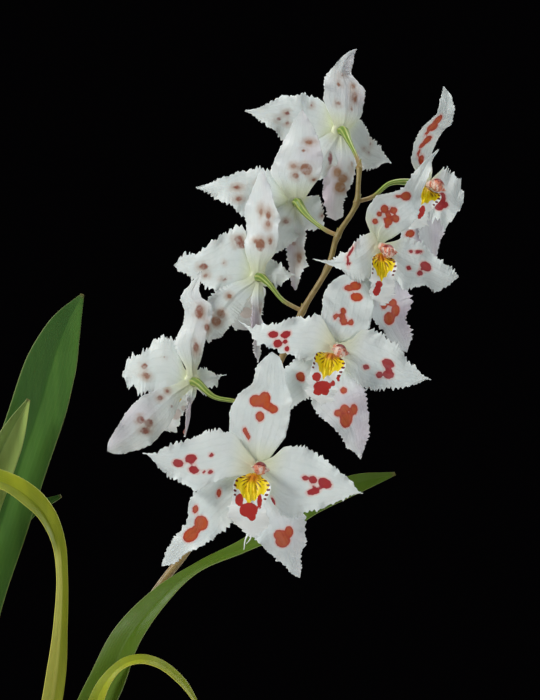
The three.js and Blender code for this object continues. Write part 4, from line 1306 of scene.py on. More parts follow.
BLOOMS = (
    Bloom(1, (109, -46, 301.7), (0.18, -0.98, 0.02), 1, (-3.7, -27), lip_sway=3, droop=0.6, sepals=(
        Blade(DORSAL, (6.6, 47.6), 3, 24.5, outline=(
            (0.16, 8.5, 6.5), (0.3, 13, 10), (0.45, 13.8, 11.5), (0.6, 11.5, 11), (0.72, 6.5, 8.5),
            (0.88, 4.8, 6), (0.97, 1.6, 3),
        ), spots=(
            (-0.1, 27.9, 2.6, 2.5), (4.3, 28.6, 2.7, 2.4, 90), (3.6, 26.3, 2, 1.9), (6.4, 24.5, 2, 1.8),
            (2.3, 21.3, 2.2, 1.8, 90), (-3.9, 15.4, 1.6, 0.9, 105), (-2.5, 13.5, 1.5, 0.85, 90),
        )),
        Blade(LATERAL, (-38, -39), -3, 19.5, outline=(
            (0.15, 4, 5), (0.3, 6.5, 9.5), (0.44, 7.8, 11.6), (0.55, 7.8, 10.2), (0.64, 7, 6),
            (0.74, 4.6, 4.8), (0.86, 3.8, 4.4), (0.95, 1.8, 1.6),
        ), spots=(
            (-14.8, -9.9, 1.7, 1, 75), (-24.1, -16.3, 1.7, 1.2, 70), (-22.2, -21.6, 3.1, 2.9, 90),
            (-26.4, -26.4, 3.5, 2.6, 42), (-24.3, -24.2, 1.9, 1.8),
        )),
        Blade(LATERAL, (18, -44), -4, 20, flush=0.2, outline=(
            (0.15, 5, 5), (0.32, 9.5, 10.5), (0.48, 10.8, 12), (0.6, 10.4, 10.6), (0.72, 8.6, 7.6),
            (0.82, 4.6, 5.4), (0.93, 2.2, 3.2),
        ), spots=((9.4, -26.7, 2.2, 2.1), (14, -25.3, 2.4, 1.8, 90), (11.3, -28.9, 3.1, 2.7))),
    ), petals=(
        Blade(PETAL, (-46.3, 6.6), 0, 23, outline=(
            (0.14, 3.5, 8.5), (0.27, 6.2, 13.6), (0.4, 10.5, 13.2), (0.5, 12.4, 11.6), (0.65, 9.6, 8.2),
            (0.8, 6.2, 4.4), (0.91, 2.2, 0.8), (0.96, 0.4, 0.3),
        ), spots=(
            (-31.5, 2.9, 2.3, 1.55, -14), (-26.3, 5, 2.5, 1.75, 8), (-25.3, -0.4, 2.3, 1.5, -18),
            (-18.3, 6.5, 1.1, 0.9), (-20.9, -0.8, 0.8, 0.7), (-18.6, -0.8, 1.2, 0.9),
        )),
        Blade(PETAL, (43, -9.8), 2, 26, outline=(
            (0.12, 6.5, 6), (0.22, 12, 12.5), (0.36, 13.8, 16), (0.5, 12.2, 13.6), (0.65, 9.2, 10.4),
            (0.8, 6, 6), (0.92, 2, 2.4), (0.97, 0.4, 0.4),
        ), spots=(
            (20.3, -2.7, 1.6, 1.1, -20), (23.4, -4, 2, 1.5, -30), (28, -5.4, 3.1, 1.9, -28),
            (23.2, -8.6, 2.8, 1.4, 12), (5.9, -13.4, 1.8, 1, 105),
        )),
    ), blotches=(
        (-6.6, -11.8, 2.5, 1.7, 90), (-2.8, -16.3, 3.8, 3), (-1.6, -18.8, 1.8, 1.5, 90),
        (1.5, -13, 2.9, 1, 90),
    ), threads=(7, 4.5)),
    Bloom(2, (140.6, -37, 350), (0.27, -0.96, 0.02), 0.9, (-6.6, -22), lip_sway=3.8, droop=1.6, sepals=(
        Blade(DORSAL, (9.8, 30.6), -3, 23, outline=(
            (0.15, 6.5, 5), (0.3, 9.8, 9.2), (0.46, 10.8, 11.2), (0.62, 11.4, 10.8), (0.76, 10.6, 9.6),
            (0.88, 8, 6.8), (0.96, 4.6, 3.4),
        ), spots=(
            (5.8, 25.5, 2.2, 1.3), (8.7, 26.2, 2.4, 1.8), (8.8, 21.7, 2.5, 1.8), (3.3, 16.1, 1.4, 1.4),
            (0.3, 13.8, 1.4, 0.9, 75), (4, 13.7, 1.6, 1.5), (4.3, 11.5, 1.6, 1.6), (6.8, 11.5, 1.4, 1.1, 90),
        )),
        Blade(LATERAL, (-32, -26.7), -13, 16, spots=((-13.8, -10.6, 1.8, 1.8), (-12.5, -11.5, 1.3, 0.9, 90))),
        Blade(LATERAL, (11, -44.3), -5, 19, flush=0.4, outline=(
            (0.15, 5, 6), (0.3, 8, 13), (0.42, 8.8, 15.4), (0.53, 8.4, 12.4), (0.64, 7.6, 9.4),
            (0.75, 5.9, 6), (0.86, 4.2, 5), (0.94, 2.2, 1.6),
        ), spots=(
            (4.6, -16.4, 1.4, 1.4), (2.2, -25.5, 1.8, 1.6), (4.8, -23.9, 2, 2), (8.1, -24.1, 2.4, 1.7, 90),
            (5, -28.3, 3.3, 2.7, 90),
        )),
    ), petals=(
        Blade(PETAL, (-39.4, 11.9), -9, 19.5, outline=(
            (0.12, 4, 7), (0.27, 8.4, 11.8), (0.42, 8.6, 8.8), (0.56, 8.6, 6.2), (0.7, 8.4, 3.6),
            (0.8, 6.8, 1), (0.88, 2.4, -1.2), (0.94, 1.1, -0.5),
        ), spots=(
            (-24.5, 6.5, 2, 1.4), (-19.5, 6.6, 2.2, 1.3, 20), (-22.9, 2.9, 1.8, 1.6), (-19.8, 3.7, 1, 0.9),
            (-18.7, 0.6, 1.1, 0.9, 90),
        )),
        Blade(PETAL, (39, -11.9), 0, 24, outline=(
            (0.12, 6, 5), (0.22, 11.6, 8.5), (0.36, 11.9, 12), (0.5, 11.1, 11.8), (0.64, 8.2, 9.2),
            (0.72, 5.3, 7.6), (0.8, 4.6, 6), (0.9, 1.4, 2.6), (0.96, 0.3, 0.4),
        ), spots=(
            (13.5, -6.6, 1.5, 1.1), (22.1, -5.8, 2.8, 1.8, -25), (19, -9.8, 1.6, 1.4),
            (22.3, -9.5, 2.4, 1.8, -10),
        )),
    ), blotches=(
        (-6.9, -10.6, 1.8, 1.8), (-4.6, -14.4, 3.7, 2.1), (-6.2, -16.6, 2, 1.7), (-3.4, -16.6, 1.6, 1.6),
        (2.2, -11.2, 1.4, 1, 90), (-0.3, -13.3, 1.2, 0.8, 90),
    )),
    Bloom(3, (158.7, -26, 391), (0.42, -0.91, 0.02), 0.74, (-1.5, -22), lip_sway=2.8, droop=2.2, sepals=(
        Blade(DORSAL, (25, 41), 3, 21.5, outline=(
            (0.08, 6.5, 1), (0.16, 11.6, 3), (0.26, 13.2, 5.2), (0.36, 12.5, 7), (0.45, 8.6, 7),
            (0.55, 4.9, 5.4), (0.7, 3.8, 3.2), (0.86, 2.7, 0.8), (0.95, 1.2, 0.1),
        ), spots=(
            (2.2, 16.8, 1.8, 1.8), (6, 16.2, 1.7, 1.5), (3.8, 14.5, 1.2, 1.2), (0.9, 14, 1.2, 1.2),
            (-1.2, 11.5, 1.4, 1.2), (4.1, 11.7, 1.9, 1.8), (7.2, 12.6, 1.7, 1.6), (3.4, 10, 1, 1),
            (11.6, 21.6, 2.4, 1.8), (8.5, 21.6, 1.5, 0.6),
        )),
        Blade(LATERAL, (-19.3, -28), -15, 14),
        Blade(LATERAL, (12, -41.8), -4, 16.5, flush=0.5, outline=(
            (0.15, 4.5, 4.5), (0.3, 7, 8.5), (0.45, 7.8, 11), (0.6, 6, 11), (0.73, 4, 9), (0.86, 4, 6.4),
            (0.95, 2, 2.8),
        ), spots=(
            (4.9, -16.5, 1.3, 0.9, 90), (2.8, -21.7, 2.5, 1.6, 90), (6.2, -21.6, 1.6, 1.6),
            (6.8, -24.7, 2.5, 1.8, 90), (5, -28.1, 2.7, 2.5, 90),
        )),
    ), petals=(
        Blade(PETAL, (-27.5, -4), -9, 17, outline=(
            (0.1, 5, 7.5), (0.25, 10.5, 6.6), (0.42, 12, 4.6), (0.56, 10.2, 2.8), (0.66, 6.8, 1.2),
            (0.77, 3.6, -1.2), (0.86, 2, -1.1),
        ), spots=(
            (-11.2, -0.8, 2.3, 0.5, 62), (-10.4, 0.2, 0.8, 0.3, 80), (-12.4, -4.6, 1.6, 0.4, 95),
            (-11.6, -6.1, 0.5, 0.5),
        )),
        Blade(PETAL, (32, -11), 0, 21, outline=(
            (0.13, 5, 4.5), (0.25, 8, 9.5), (0.4, 9.5, 13), (0.52, 8.4, 11.4), (0.65, 5.9, 8.8),
            (0.8, 4.4, 8.2), (0.91, 2, 4.8),
        ), spots=(
            (13.5, -0.6, 1, 0.7), (16.5, -1.3, 1.8, 0.8), (19.5, -6.8, 2.7, 1.8, -32), (12.4, -7.8, 1.2, 1),
            (17.1, -9.3, 1.4, 1.1),
        )),
    ), blotches=((0.2, -14.1, 1.6, 1.4), (-0.4, -16.7, 2.6, 1.6, 90))),
    Bloom(4, (178, 10, 417), (0.5, -0.866, 0), 0.74, (-10, -17.5), lip_sway=2.6, sepals=(
        Blade(DORSAL, (8.2, 41.4), 6, 14, sway=-4, outline=(
            (0.1, 3.5, 3), (0.22, 5.7, 4), (0.36, 6.3, 3.4), (0.545, 6.7, 2.6), (0.66, 4.5, 6.2),
            (0.73, 2.5, 6), (0.81, 1.7, 4.9), (0.88, 1.3, 4.0), (0.96, 0.8, 1.9),
        ), spots=(
            (5.3, 27.4, 2.8, 1.6, 55), (3.4, 24.8, 2.6, 1.8, 40), (1.4, 22.6, 1.8, 0.8, 65),
            (1.1, 19.6, 2.5, 1.3, 60), (-0.7, 17.4, 1.7, 1, 60), (-2.3, 14.2, 1.6, 0.6, 80),
            (-1.3, 11.2, 2.1, 1.2, 75),
        )),
        Blade(LATERAL, (-8, -33), -10, 16, flush=0.5, spots=((-6, -19, 2.2, 1.6),)),
        Blade(LATERAL, (4, -31), -3, 13, flush=0.4),
    ), petals=(
        Blade(PETAL, (-16, -13), 0, 13),
        Blade(PETAL, (15, -6), 2, 22, ragged=2.1, outline=(
            (0.12, 6, 5), (0.3, 11, 10.5), (0.5, 12.6, 14), (0.7, 10.4, 14.6), (0.85, 6, 11.5),
            (0.95, 2.4, 5),
        ), spots=(
            (7.2, -4.4, 2.4, 2, 80), (9, -7, 1.7, 1.3), (6.4, -8, 1.9, 1.5), (5, 2.2, 1.7, 1.1),
        )),
    ), blotches=((-1.2, -10.5, 3, 1.4, 78),)),
    Bloom(5, (144, 37, 440.7), (-0.33, 0.94, 0), 0.8, (-8, -18), sepals=(
        Blade(DORSAL, (6.6, 34), 0, 16.5, flush=0.35, tone=0.6, outline=(
            (0.12, 5.5, 4.8), (0.25, 7.9, 8), (0.4, 8.1, 10.6), (0.53, 7.2, 10.9), (0.62, 3.4, 10.3),
            (0.71, 0.3, 8.8), (0.85, -0.4, 6.2), (0.95, -0.3, 3.2),
        ), spots=(
            (0.6, 22.9, 0.8, 0.5), (-0.4, 19.4, 1.2, 1, 90), (5.5, 18.8, 1.4, 1, 90),
            (5.2, 14.1, 2.7, 1.4, 90), (-1.4, 11.3, 1.2, 1), (4.5, 9, 1.4, 0.7, 90),
        )),
        Blade(LATERAL, (-15.6, -23), 4, 13, spots=((-4.7, -11.1, 3.3, 1.2, 90),)),
        Blade(LATERAL, (-2, -37), 3, 15, 30, flush=0.45, tone=1, outline=(
            (0.15, 3.5, 4.5), (0.35, 5.5, 7.5), (0.55, 6.8, 6.8), (0.7, 6.4, 4.4), (0.85, 5.2, 3),
            (0.95, 4.2, 2.8),
        ), spots=(
            (-0.9, -17.2, 2.3, 1.6, 90), (0.6, -19.6, 2, 2), (0, -23.2, 2.4, 2.4),
            (4.5, -13.8, 1.7, 0.7, 90),
        )),
    ), petals=(
        Blade(PETAL, (-38.5, 8.2), 4, 19, tone=0.2, ragged=0.75, outline=(
            (0.12, 7, 6), (0.24, 11, 10.5), (0.4, 12, 11), (0.52, 10.8, 8.8), (0.66, 8.4, 5.8),
            (0.8, 4.6, 3.4), (0.93, 1.2, 1.2),
        ), spots=(
            (-12.5, 10.2, 0.8, 0.7), (-25.8, 4.9, 1.2, 0.9), (-22.2, 7, 1.4, 1), (-22.2, 2.9, 1, 0.8),
        )),
        Blade(PETAL, (22, -13), 9, 16.5, tone=0.3, outline=(
            (0.15, 5, 8), (0.25, 8, 9), (0.42, 10, 7), (0.58, 9.2, 4.8), (0.72, 6.6, 4), (0.86, 2.6, 1.8),
            (0.94, 0.6, 0.6),
        ), spots=((11.7, -8.6, 0.6, 0.6), (9.6, -7, 0.6, 0.4), (12.3, -5.3, 1, 0.4, 90))),
    )),
    Bloom(6, (125.5, 20, 410.8), (-0.22, 0.975, 0), 0.88, (-8, -19), sepals=(
        Blade(DORSAL, (2.5, 38.5), -2, 19, -20, flush=0.3, tone=0.55, outline=(
            (0.15, 6, 7), (0.32, 9.6, 11), (0.48, 10, 9.4), (0.64, 8.2, 6.8), (0.8, 5.4, 4.2),
            (0.93, 2.2, 1.6),
        ), spots=(
            (2.6, 21.5, 1, 0.8), (5.3, 24.9, 1.9, 1.1), (4, 14, 2.7, 2.7), (7, 9.6, 1, 0.8),
            (-0.9, 15.2, 1.4, 1.2), (-0.8, 11.1, 1.6, 1.4),
        )),
        Blade(LATERAL, (-12, -22), 1, 14, spots=((-4, -8, 1.4, 1),)),
        Blade(LATERAL, (0, -36), 3, 11, 42, flush=0.55, tone=0.7, outline=(
            (0.1, 2.2, 2.2), (0.3, 4.4, 3.6), (0.55, 5.2, 4.4), (0.8, 4, 3.4), (0.93, 1.8, 1.4),
        ), spots=((0.3, -13.4, 1, 0.9), (-0.9, -16.9, 1.2, 1), (1.6, -22.9, 2.8, 1.1, 90))),
    ), petals=(
        Blade(PETAL, (-40.6, 6.2), 7, 19, tone=0.3, ragged=0.85, outline=(
            (0.12, 6.5, 5.5), (0.28, 12, 10), (0.44, 12.2, 9.4), (0.6, 9.6, 7), (0.76, 6.2, 3.2),
            (0.9, 2, 1.2),
        ), spots=(
            (-24.5, 6.2, 1.7, 1), (-23.5, 1.9, 1.8, 1.1), (-16.1, 8.1, 0.5, 0.4), (-20, -3.1, 1, 0.5, 90),
        )),
        Blade(PETAL, (12, -10), 8, 15, spots=((12, -1.2, 0.6, 0.9), (10.7, -5.3, 0.7, 0.7))),
    )),
    Bloom(7, (110, 13, 380), (-0.15, 0.99, 0), 0.9, (-8, -22), sepals=(
        Blade(DORSAL, (1.6, 45), -3, 16, -35, flush=0.2, tone=0.5, outline=(
            (0.1, 3, 3.5), (0.22, 6.4, 5.5), (0.4, 8.2, 7), (0.56, 8, 6.8), (0.75, 5.6, 5.6),
            (0.9, 2.4, 2.6),
        ), spots=(
            (1.1, 26.9, 1.9, 0.9, 90), (3.9, 25.6, 2.1, 1.2, 90), (3.7, 22.1, 1.7, 1, 90),
            (-0.6, 14.8, 1.4, 1.2), (1.1, 13.2, 2.9, 2.1, 90), (4.6, 14.8, 1.6, 1, 90),
        )),
        Blade(LATERAL, (-20.5, -27), 2, 16, tone=0.6, outline=(
            (0.12, 4, 2), (0.28, 8, 2.4), (0.5, 11, 3.4), (0.7, 10.5, 3.4), (0.85, 8.2, 2.8),
            (0.95, 4.5, 1.2),
        ), spots=(
            (-11.7, -8, 1.2, 1.2), (-15.5, -15, 2.2, 1.9, 90), (-17.4, -18, 2.2, 2.2),
            (-21.2, -20.8, 1.6, 1.1, 90),
        )),
        Blade(LATERAL, (0, -35), 1, 10, -50, flush=0.5, tone=0.8, outline=(
            (0.1, 2, 2), (0.3, 3.4, 3), (0.55, 4.4, 3.8), (0.8, 3.6, 3), (0.93, 1.6, 1.2),
        ), spots=((0.5, -14, 1.6, 0.8, 90), (0.2, -22, 1.8, 1, 90))),
    ), petals=(
        Blade(PETAL, (-34.4, 5), 4, 25, tone=0.3, ragged=1.3, outline=(
            (0.12, 11, 5), (0.28, 20, 9), (0.45, 16.5, 9.6), (0.57, 12.1, 8.6), (0.74, 7.7, 6),
            (0.93, 3.6, 2.4),
        ), spots=(
            (-8.4, 15.8, 2.1, 1.6), (-6.9, 13.3, 2.6, 1.7), (-14.4, 6.2, 0.5, 0.5), (-22.5, 4.4, 2.1, 1.5),
            (-21.8, 0.5, 1.2, 0.9), (-14.4, -0.5, 1.2, 0.7),
        )),
        Blade(PETAL, (15.6, 1), 0, 13, ragged=1.6, outline=(
            (0.12, 3.5, 4), (0.35, 5.4, 7.4), (0.6, 4.6, 6), (0.75, 2.2, 3.4), (0.9, 0.7, 0.8),
        )),
    )),
    Bloom(8, (83.2, 7, 337), (-0.3, 0.95, 0), 0.92, (-12, -20), sepals=(
        Blade(DORSAL, (3.3, 45.5), -4, 16, -28, flush=0.15, tone=0.35, outline=(
            (0.1, 1.5, 3), (0.2, 3, 5.5), (0.34, 4.2, 8.4), (0.47, 4.8, 6.6), (0.6, 5.8, 5.6),
            (0.7, 5.6, 6.6), (0.76, 1.6, 7.6), (0.87, 0.3, 4.6), (0.95, 0.3, 1.8),
        ), spots=((2.5, 28.9, 3.1, 1.9, 90), (5.7, 22.4, 1.9, 1.2, 90), (1.2, 14.2, 2.4, 1.3, 90))),
        Blade(LATERAL, (-35, -28.3), 0, 18, flush=0.28, tone=0.25, ragged=0.35, outline=(
            (0.15, 4, 2), (0.3, 7, 5.6), (0.45, 8.7, 8.6), (0.6, 7.8, 9.3), (0.75, 6.2, 8), (0.9, 3.8, 5.2),
            (0.97, 1.8, 2.6),
        ), spots=(
            (-10.5, -3.9, 0.9, 0.9), (-13.7, -6.2, 1.4, 1.2), (-8.8, -10.2, 0.7, 0.7),
            (-21.5, -15.4, 1.9, 1.8), (-18.1, -16.8, 2.1, 1.9), (-19.8, -19.9, 2.4, 1.6),
        )),
        Blade(LATERAL, (-3.3, -22.6), 2, 10, -68, flush=0.8, outline=(
            (0.1, 2, 2), (0.3, 2.4, 2.4), (0.6, 3, 3.4), (0.8, 4, 4.4), (0.93, 2.2, 1.6),
        ), spots=((-5.5, -20.3, 1.9, 0.7, 90),)),
    ), petals=(
        Blade(PETAL, (-28.3, 3), 9, 26, tone=0.4, ragged=1.7, outline=(
            (0.12, 5, 4), (0.25, 12, 6.5), (0.4, 17.6, 8), (0.56, 17.2, 8.6), (0.7, 14, 8.2),
            (0.83, 11.2, 5.6), (0.93, 8.6, 3), (1, 1.5, 0.6),
        ), spots=(
            (-20.2, 6.6, 1.6, 1.4), (-19.8, 2.8, 1.9, 1.1, -15), (-18.9, 1.7, 1, 0.9),
            (-12.1, 9.8, 0.5, 0.5),
        )),
        Blade(PETAL, (14.4, 3), 6, 14, 35, ragged=1.3, outline=(
            (0.12, 3.5, 3), (0.35, 7.4, 6), (0.55, 5.6, 5.4), (0.7, 3.2, 2.4), (0.8, 0.6, 0.7),
            (0.9, 0.3, 0.3),
        )),
    )),
)


class Green(Enum):
    """The three greens that the leaves come in: each a blade, shade, edge and base colour."""

    MID = LeafFinish(
        "leaf_green", paint(72, 112, 44), paint(42, 78, 32), paint(136, 152, 92), paint(104, 120, 50)
    )
    PALE = LeafFinish(
        "leaf_pale", paint(156, 178, 96), paint(62, 96, 40), paint(176, 192, 120), paint(136, 150, 70)
    )
    YELLOW = LeafFinish(
        "leaf_yellow_green", paint(160, 168, 40), paint(104, 122, 24), paint(214, 214, 104),
        paint(156, 160, 56),
    )


@dataclass(frozen=True)
class Leaf:
    """A strap leaf. Each station gives a point of its midrib, the width and the turn there."""

    name: str
    green: Green
    fold: float
    stations: tuple[tuple[float, ...], ...]
    sun: float = 0
    # How strongly a pale band of painted light shows on the lit side of the leaf near its foot
    lit_strip: float = 0

    ROWS = 150
    COLUMNS = 25
    FOLD_ROUNDING = 0.004
    ARCH = 0.06
    WAVE_HEIGHT = 0.35
    # The waves' pitch on each side, along a leaf that counts as this long
    WAVE_PITCH = (46, 38)
    WAVED_LENGTH = 400
    EDGE_THICKNESS = 0.3
    MIDDLE_THICKNESS = 0.75
    KEEL_WIDTH = 0.05

    def shell(self) -> Shell:
        """The leaf.

        The sideways direction is turned about the midrib, and the two halves rise from it like a
        rounded V whose arms arch a little: rise = fold * (sqrt(t^2 + r) - sqrt(r)) + arch *
        sin(pi * |t|), times the half width, where t runs from -1 to 1 across.
        """
        rng = np.random.default_rng(len(self.name) + int(abs(self.stations[0][0])))
        line = curve_through([station[:3] for station in self.stations], self.ROWS)
        tangent = unit(np.gradient(line, axis=0))
        share = np.linspace(0, 1, self.ROWS)
        places = np.linspace(0, 1, len(self.stations))
        width, turn = (
            smooth_through(places, [station[column] for station in self.stations], share)[:, None]
            for column in (3, 4)
        )
        front = unit(np.array([0.0, -1.0, 0.0]) + tangent[:, 1, None] * tangent)
        sideways, normal = turned(np.cross(front, tangent), front, np.radians(turn))
        across = np.linspace(-1, 1, self.COLUMNS)[None, :]
        half = width / 2
        arm = np.sqrt(across**2 + self.FOLD_ROUNDING) - math.sqrt(self.FOLD_ROUNDING)
        arch = self.ARCH * np.sin(np.pi * np.abs(across)) * (1 - share[:, None])
        run = share * self.WAVED_LENGTH
        wave = np.where(across > 0, *(wander(rng, run, pitch)[:, None] for pitch in self.WAVE_PITCH))
        rise = (self.fold * arm + arch) * half + self.WAVE_HEIGHT * wave * across**2
        points = (
            line[:, None]
            + (across * half)[..., None] * sideways[:, None]
            + rise[..., None] * normal[:, None]
        )
        stout = self.EDGE_THICKNESS + self.MIDDLE_THICKNESS * (1 - np.abs(across)) ** 0.7
        fields = {
            "along": share[:, None],
            "across": across,
            "keel": np.exp(-((across / self.KEEL_WIDTH) ** 2)),
            "sun": self.sun,
            "lit_strip": self.lit_strip * smooth_rise(-0.32, -0.2, across) * smooth_rise(0.46, 0.4, share)[:, None],
        }
        return sheet_shell(points, normal[:, None], stout, fields)


LEAVES = (
    Leaf('leaf_tall', Green.MID, 0.22, (
        (-13.5, 1.2, 165.7, 8, 5), (-12.5, 1.6, 185, 11, 5), (-10.5, 3, 218, 17, 5), (-4.5, 4, 250, 21, 4),
        (4.5, 4, 280, 23, 2), (13, 3, 306, 23, 0), (19.5, 2, 325, 23, 0), (24.5, 1, 342, 21.5, 0),
        (30.5, 0, 359, 14, 0), (38, 0, 373, 1.4, 0),
    )),
    Leaf('leaf_folded', Green.PALE, 0.7, (
        (-15, -1.4, 165.7, 7.5, 10), (-15.5, -3, 185, 9, 15), (-17, -7, 220, 14, 25),
        (-14, -9.5, 255, 16, 30), (-5.5, -10.5, 285, 16, 32), (6, -10.5, 312, 13, 30),
        (16, -10, 330, 1.4, 20),
    )),
    Leaf('leaf_arching', Green.YELLOW, 0.4, (
        (20.5, -5.4, 165.7, 8, 10), (21.5, -7, 185, 9, 20), (26, -10, 216, 9.5, 35), (28, -12, 238, 8.5, 50),
        (28.5, -14, 258, 8.5, 60), (27, -17, 272, 9, 53), (22.3, -19, 283, 10, 42),
        (15.5, -21.5, 290, 11, 38), (6, -24, 295.5, 11, 45), (-8, -26, 298, 12, 50), (-27, -27, 289, 9, 45),
        (-44, -27, 272, 1.4, 40),
    ), lit_strip=1),
    Leaf('leaf_long', Green.MID, 0.3, (
        (22, -2.6, 165.7, 8, 0), (25, -4.2, 183, 11.5, -5), (38, -6.3, 196, 14, -10),
        (47.5, -9, 212, 15.5, -18), (57, -10, 232, 14.5, -36), (71, -11.5, 248.5, 12.5, -54),
        (86, -13, 260.5, 10, -68), (103, -14, 268.5, 10.5, -62), (119, -14, 277, 12.5, -50),
        (134, -13, 287.5, 11.5, -35), (150, -11, 295, 8, -15), (166, -8, 299.5, 1.4, -5),
    ), sun=1),
    Leaf('leaf_curled', Green.YELLOW, 0.25, (
        (33, -19, 88.5, 4, 10), (33.5, -19, 125, 5, 10), (36, -19, 165, 6, 10), (41, -18, 196, 6.5, 0),
        (47, -18.5, 213, 6.5, -35), (54.5, -19, 221, 6.5, -55), (62, -19, 223.5, 6.5, -55),
        (70, -19, 221.5, 6, -55), (78.5, -19, 214.5, 5, -55), (87, -19, 202, 1.4, -55),
    )),
    Leaf('leaf_behind', Green.MID, 0.3, (
        (-29, 21.6, 150.7, 7, 0), (-28, 21, 170, 10, 0), (-21, 19, 210, 14, 0), (-9, 17, 246, 14, -5),
        (3, 15, 270, 11, -10), (15, 13, 283, 7, -20), (29, 12, 290, 1.4, -30),
    )),
    Leaf('leaf_left', Green.MID, 0.3, (
        (-31, 24.2, 150.7, 7, 10), (-32.5, 24.5, 170, 11, 15), (-42, 22, 203, 15, 25),
        (-61, 17, 231, 17, 35), (-84, 11, 245, 16, 42), (-106, 5, 245, 11, 50), (-125, 1, 236, 1.4, 55),
    )),
    Leaf('leaf_rear', Green.MID, 0.35, (
        (4, 25, 88.5, 5, 0), (4, 26, 125, 8, 0), (1, 30, 160, 12, 5), (-6, 38, 190, 13, 10),
        (-16, 50, 213, 10, 20), (-27, 63, 226, 1.4, 30),
    )),
)


@dataclass(frozen=True)
class Spike:
    """The flower spike with the stalks of its blooms, its bracts and its sheaths."""

    FOOT_RADIUS = 2.4
    TIP_RADIUS = 0.95
    JOINT_SWELLING = 0.4
    JOINT_REACH = 2.2
    PEDICEL_RADIUS = 0.9
    OVARY_RADIUS = 1.9
    OVARY_RIBS = 6
    # How far behind the bloom's centre its stalk ends, and how far before that it turns to it
    STALK_END = 0.9
    STALK_APPROACH = 3
    # The length and radius of the scales
    BRACT = (4.2, 1.35)
    SHEATH = (17, 3.2)
    LINE = (
        (39.5, -4, 88.5), (41, -4, 150), (47, -3, 206), (57.5, -2, 235), (70, -2, 254), (82.5, -3, 270.5),
        (96.5, -5, 297), (104.5, -6, 313.5), (110, -6, 326), (121, -4, 350), (128, -2, 366), (138.5, -1, 384),
        (142.5, 0, 397), (148.5, 1, 406.5), (150.5, 1, 411), (151, 2, 418), (151.5, 4, 425.5),
    )
    STALKS = (
        ((104.5, -6, 313.5), (107, -20, 314), (109, -36, 306)),
        ((121, -4, 350), (128, -15, 354), (138, -28, 353)),
        ((138.5, -1, 384), (145, -8, 388), (154, -19, 391)),
        ((150.5, 1, 411), (157, 4, 413), (164, 8, 418.5), (172, 12, 419)),
        ((151.5, 4, 425.5), (150.4, 12, 429.5), (147.5, 24, 436)),
        ((142.5, 0, 397), (137.4, 5, 399.5), (131, 10, 404.5), (127.5, 15, 409)),
        ((128, -2, 366), (120, 0.5, 370.6), (114.8, 3, 376.8), (111.6, 7, 379.8)),
        ((110, -6, 326), (101, -5, 329), (91.8, -4, 331), (86, -1, 336)),
    )
    SHEATHS = ((40, -4, 112), (42.6, -3.8, 160), (52.5, -2.4, 222.5))

    def rachis(self) -> Shell:
        """The main stem: it tapers to its tip, is a little thicker at each joint and faintly ribbed."""
        path = curve_through(self.LINE, 260, even=True)
        share = np.linspace(0, 1, len(path))[:, None]
        radii = self.FOOT_RADIUS + (self.TIP_RADIUS - self.FOOT_RADIUS) * share
        joints = np.array([stalk[0] for stalk in self.STALKS])
        away = np.linalg.norm(path[:, None] - joints, axis=2) / self.JOINT_REACH
        near = np.exp(-(away**2)).sum(axis=1)[:, None]
        angles = round_angles(16)
        ribs = 1 + 0.02 * np.cos(5 * angles)
        young = 0.25 * smooth_rise(0.6, 1, share[:, 0])
        return tube_shell(path, (radii + self.JOINT_SWELLING * near) * ribs, len(angles), {"green": young})

    def stalk(self, points: Sequence[Point], bloom: Bloom) -> Shell:
        """The stalk of a bloom: it swells into a ribbed ovary behind the flower."""
        steps = (self.STALK_END + self.STALK_APPROACH, self.STALK_END)
        ends = [bloom.middle - back * bloom.front for back in steps]
        path = curve_through([*points, *ends], 60, even=True)
        share = np.linspace(0, 1, len(path))[:, None]
        swell = smooth_rise(0.4, 1, share)
        angles = round_angles(18)
        rib = np.cos(self.OVARY_RIBS * angles)
        radii = self.PEDICEL_RADIUS + (self.OVARY_RADIUS - self.PEDICEL_RADIUS) * swell
        shell = tube_shell(
            path, radii * (1 + 0.07 * rib * swell), len(angles), {"green": smooth_rise(0.0, 0.6, share[:, 0])}
        )
        shell.fields["rib"] = np.append(np.tile(rib, len(path)), [0, 0])
        return shell

    def scale(self, foot: Point, outward: Array, length: float, radius: float) -> Shell:
        """A pointed scale that hugs the stem and leans out at its tip.

        Its radius falls as (1 - share^1.4) * (0.86 + 0.14 * cos(3 * share)).

        Args:
            foot: The point of the stem that it grows from.
            outward: The way that it leans.
            length: Its length.
            radius: Its radius at the foot.

        Returns:
            The shell, green towards its tip.
        """
        lean = unit(unit(np.array([0.3, 0, 1])) + 0.3 * outward)
        share = np.linspace(0, 1, 16)
        bend = np.outer(0.08 * length * share**2, outward)
        path = np.asarray(foot) + np.outer(share * length - 1, lean) + bend
        radii = radius * (1 - share**1.4) * (0.86 + 0.14 * np.cos(3 * share)) + 0.12
        return tube_shell(path, radii, 14, {"green": 0.45 * share})

    def shell(self) -> Shell:
        """The whole spike."""
        stalks = [self.stalk(points, bloom) for points, bloom in zip(self.STALKS, BLOOMS)]
        bracts = [
            self.scale(foot, unit(np.subtract(after, foot)), *self.BRACT) for foot, after, *_ in self.STALKS
        ]
        sheaths = [self.scale(foot, np.array([1.0, 0, 0]), *self.SHEATH) for foot in self.SHEATHS]
        return Shell.joined([self.rachis(), *stalks, *bracts, *sheaths])


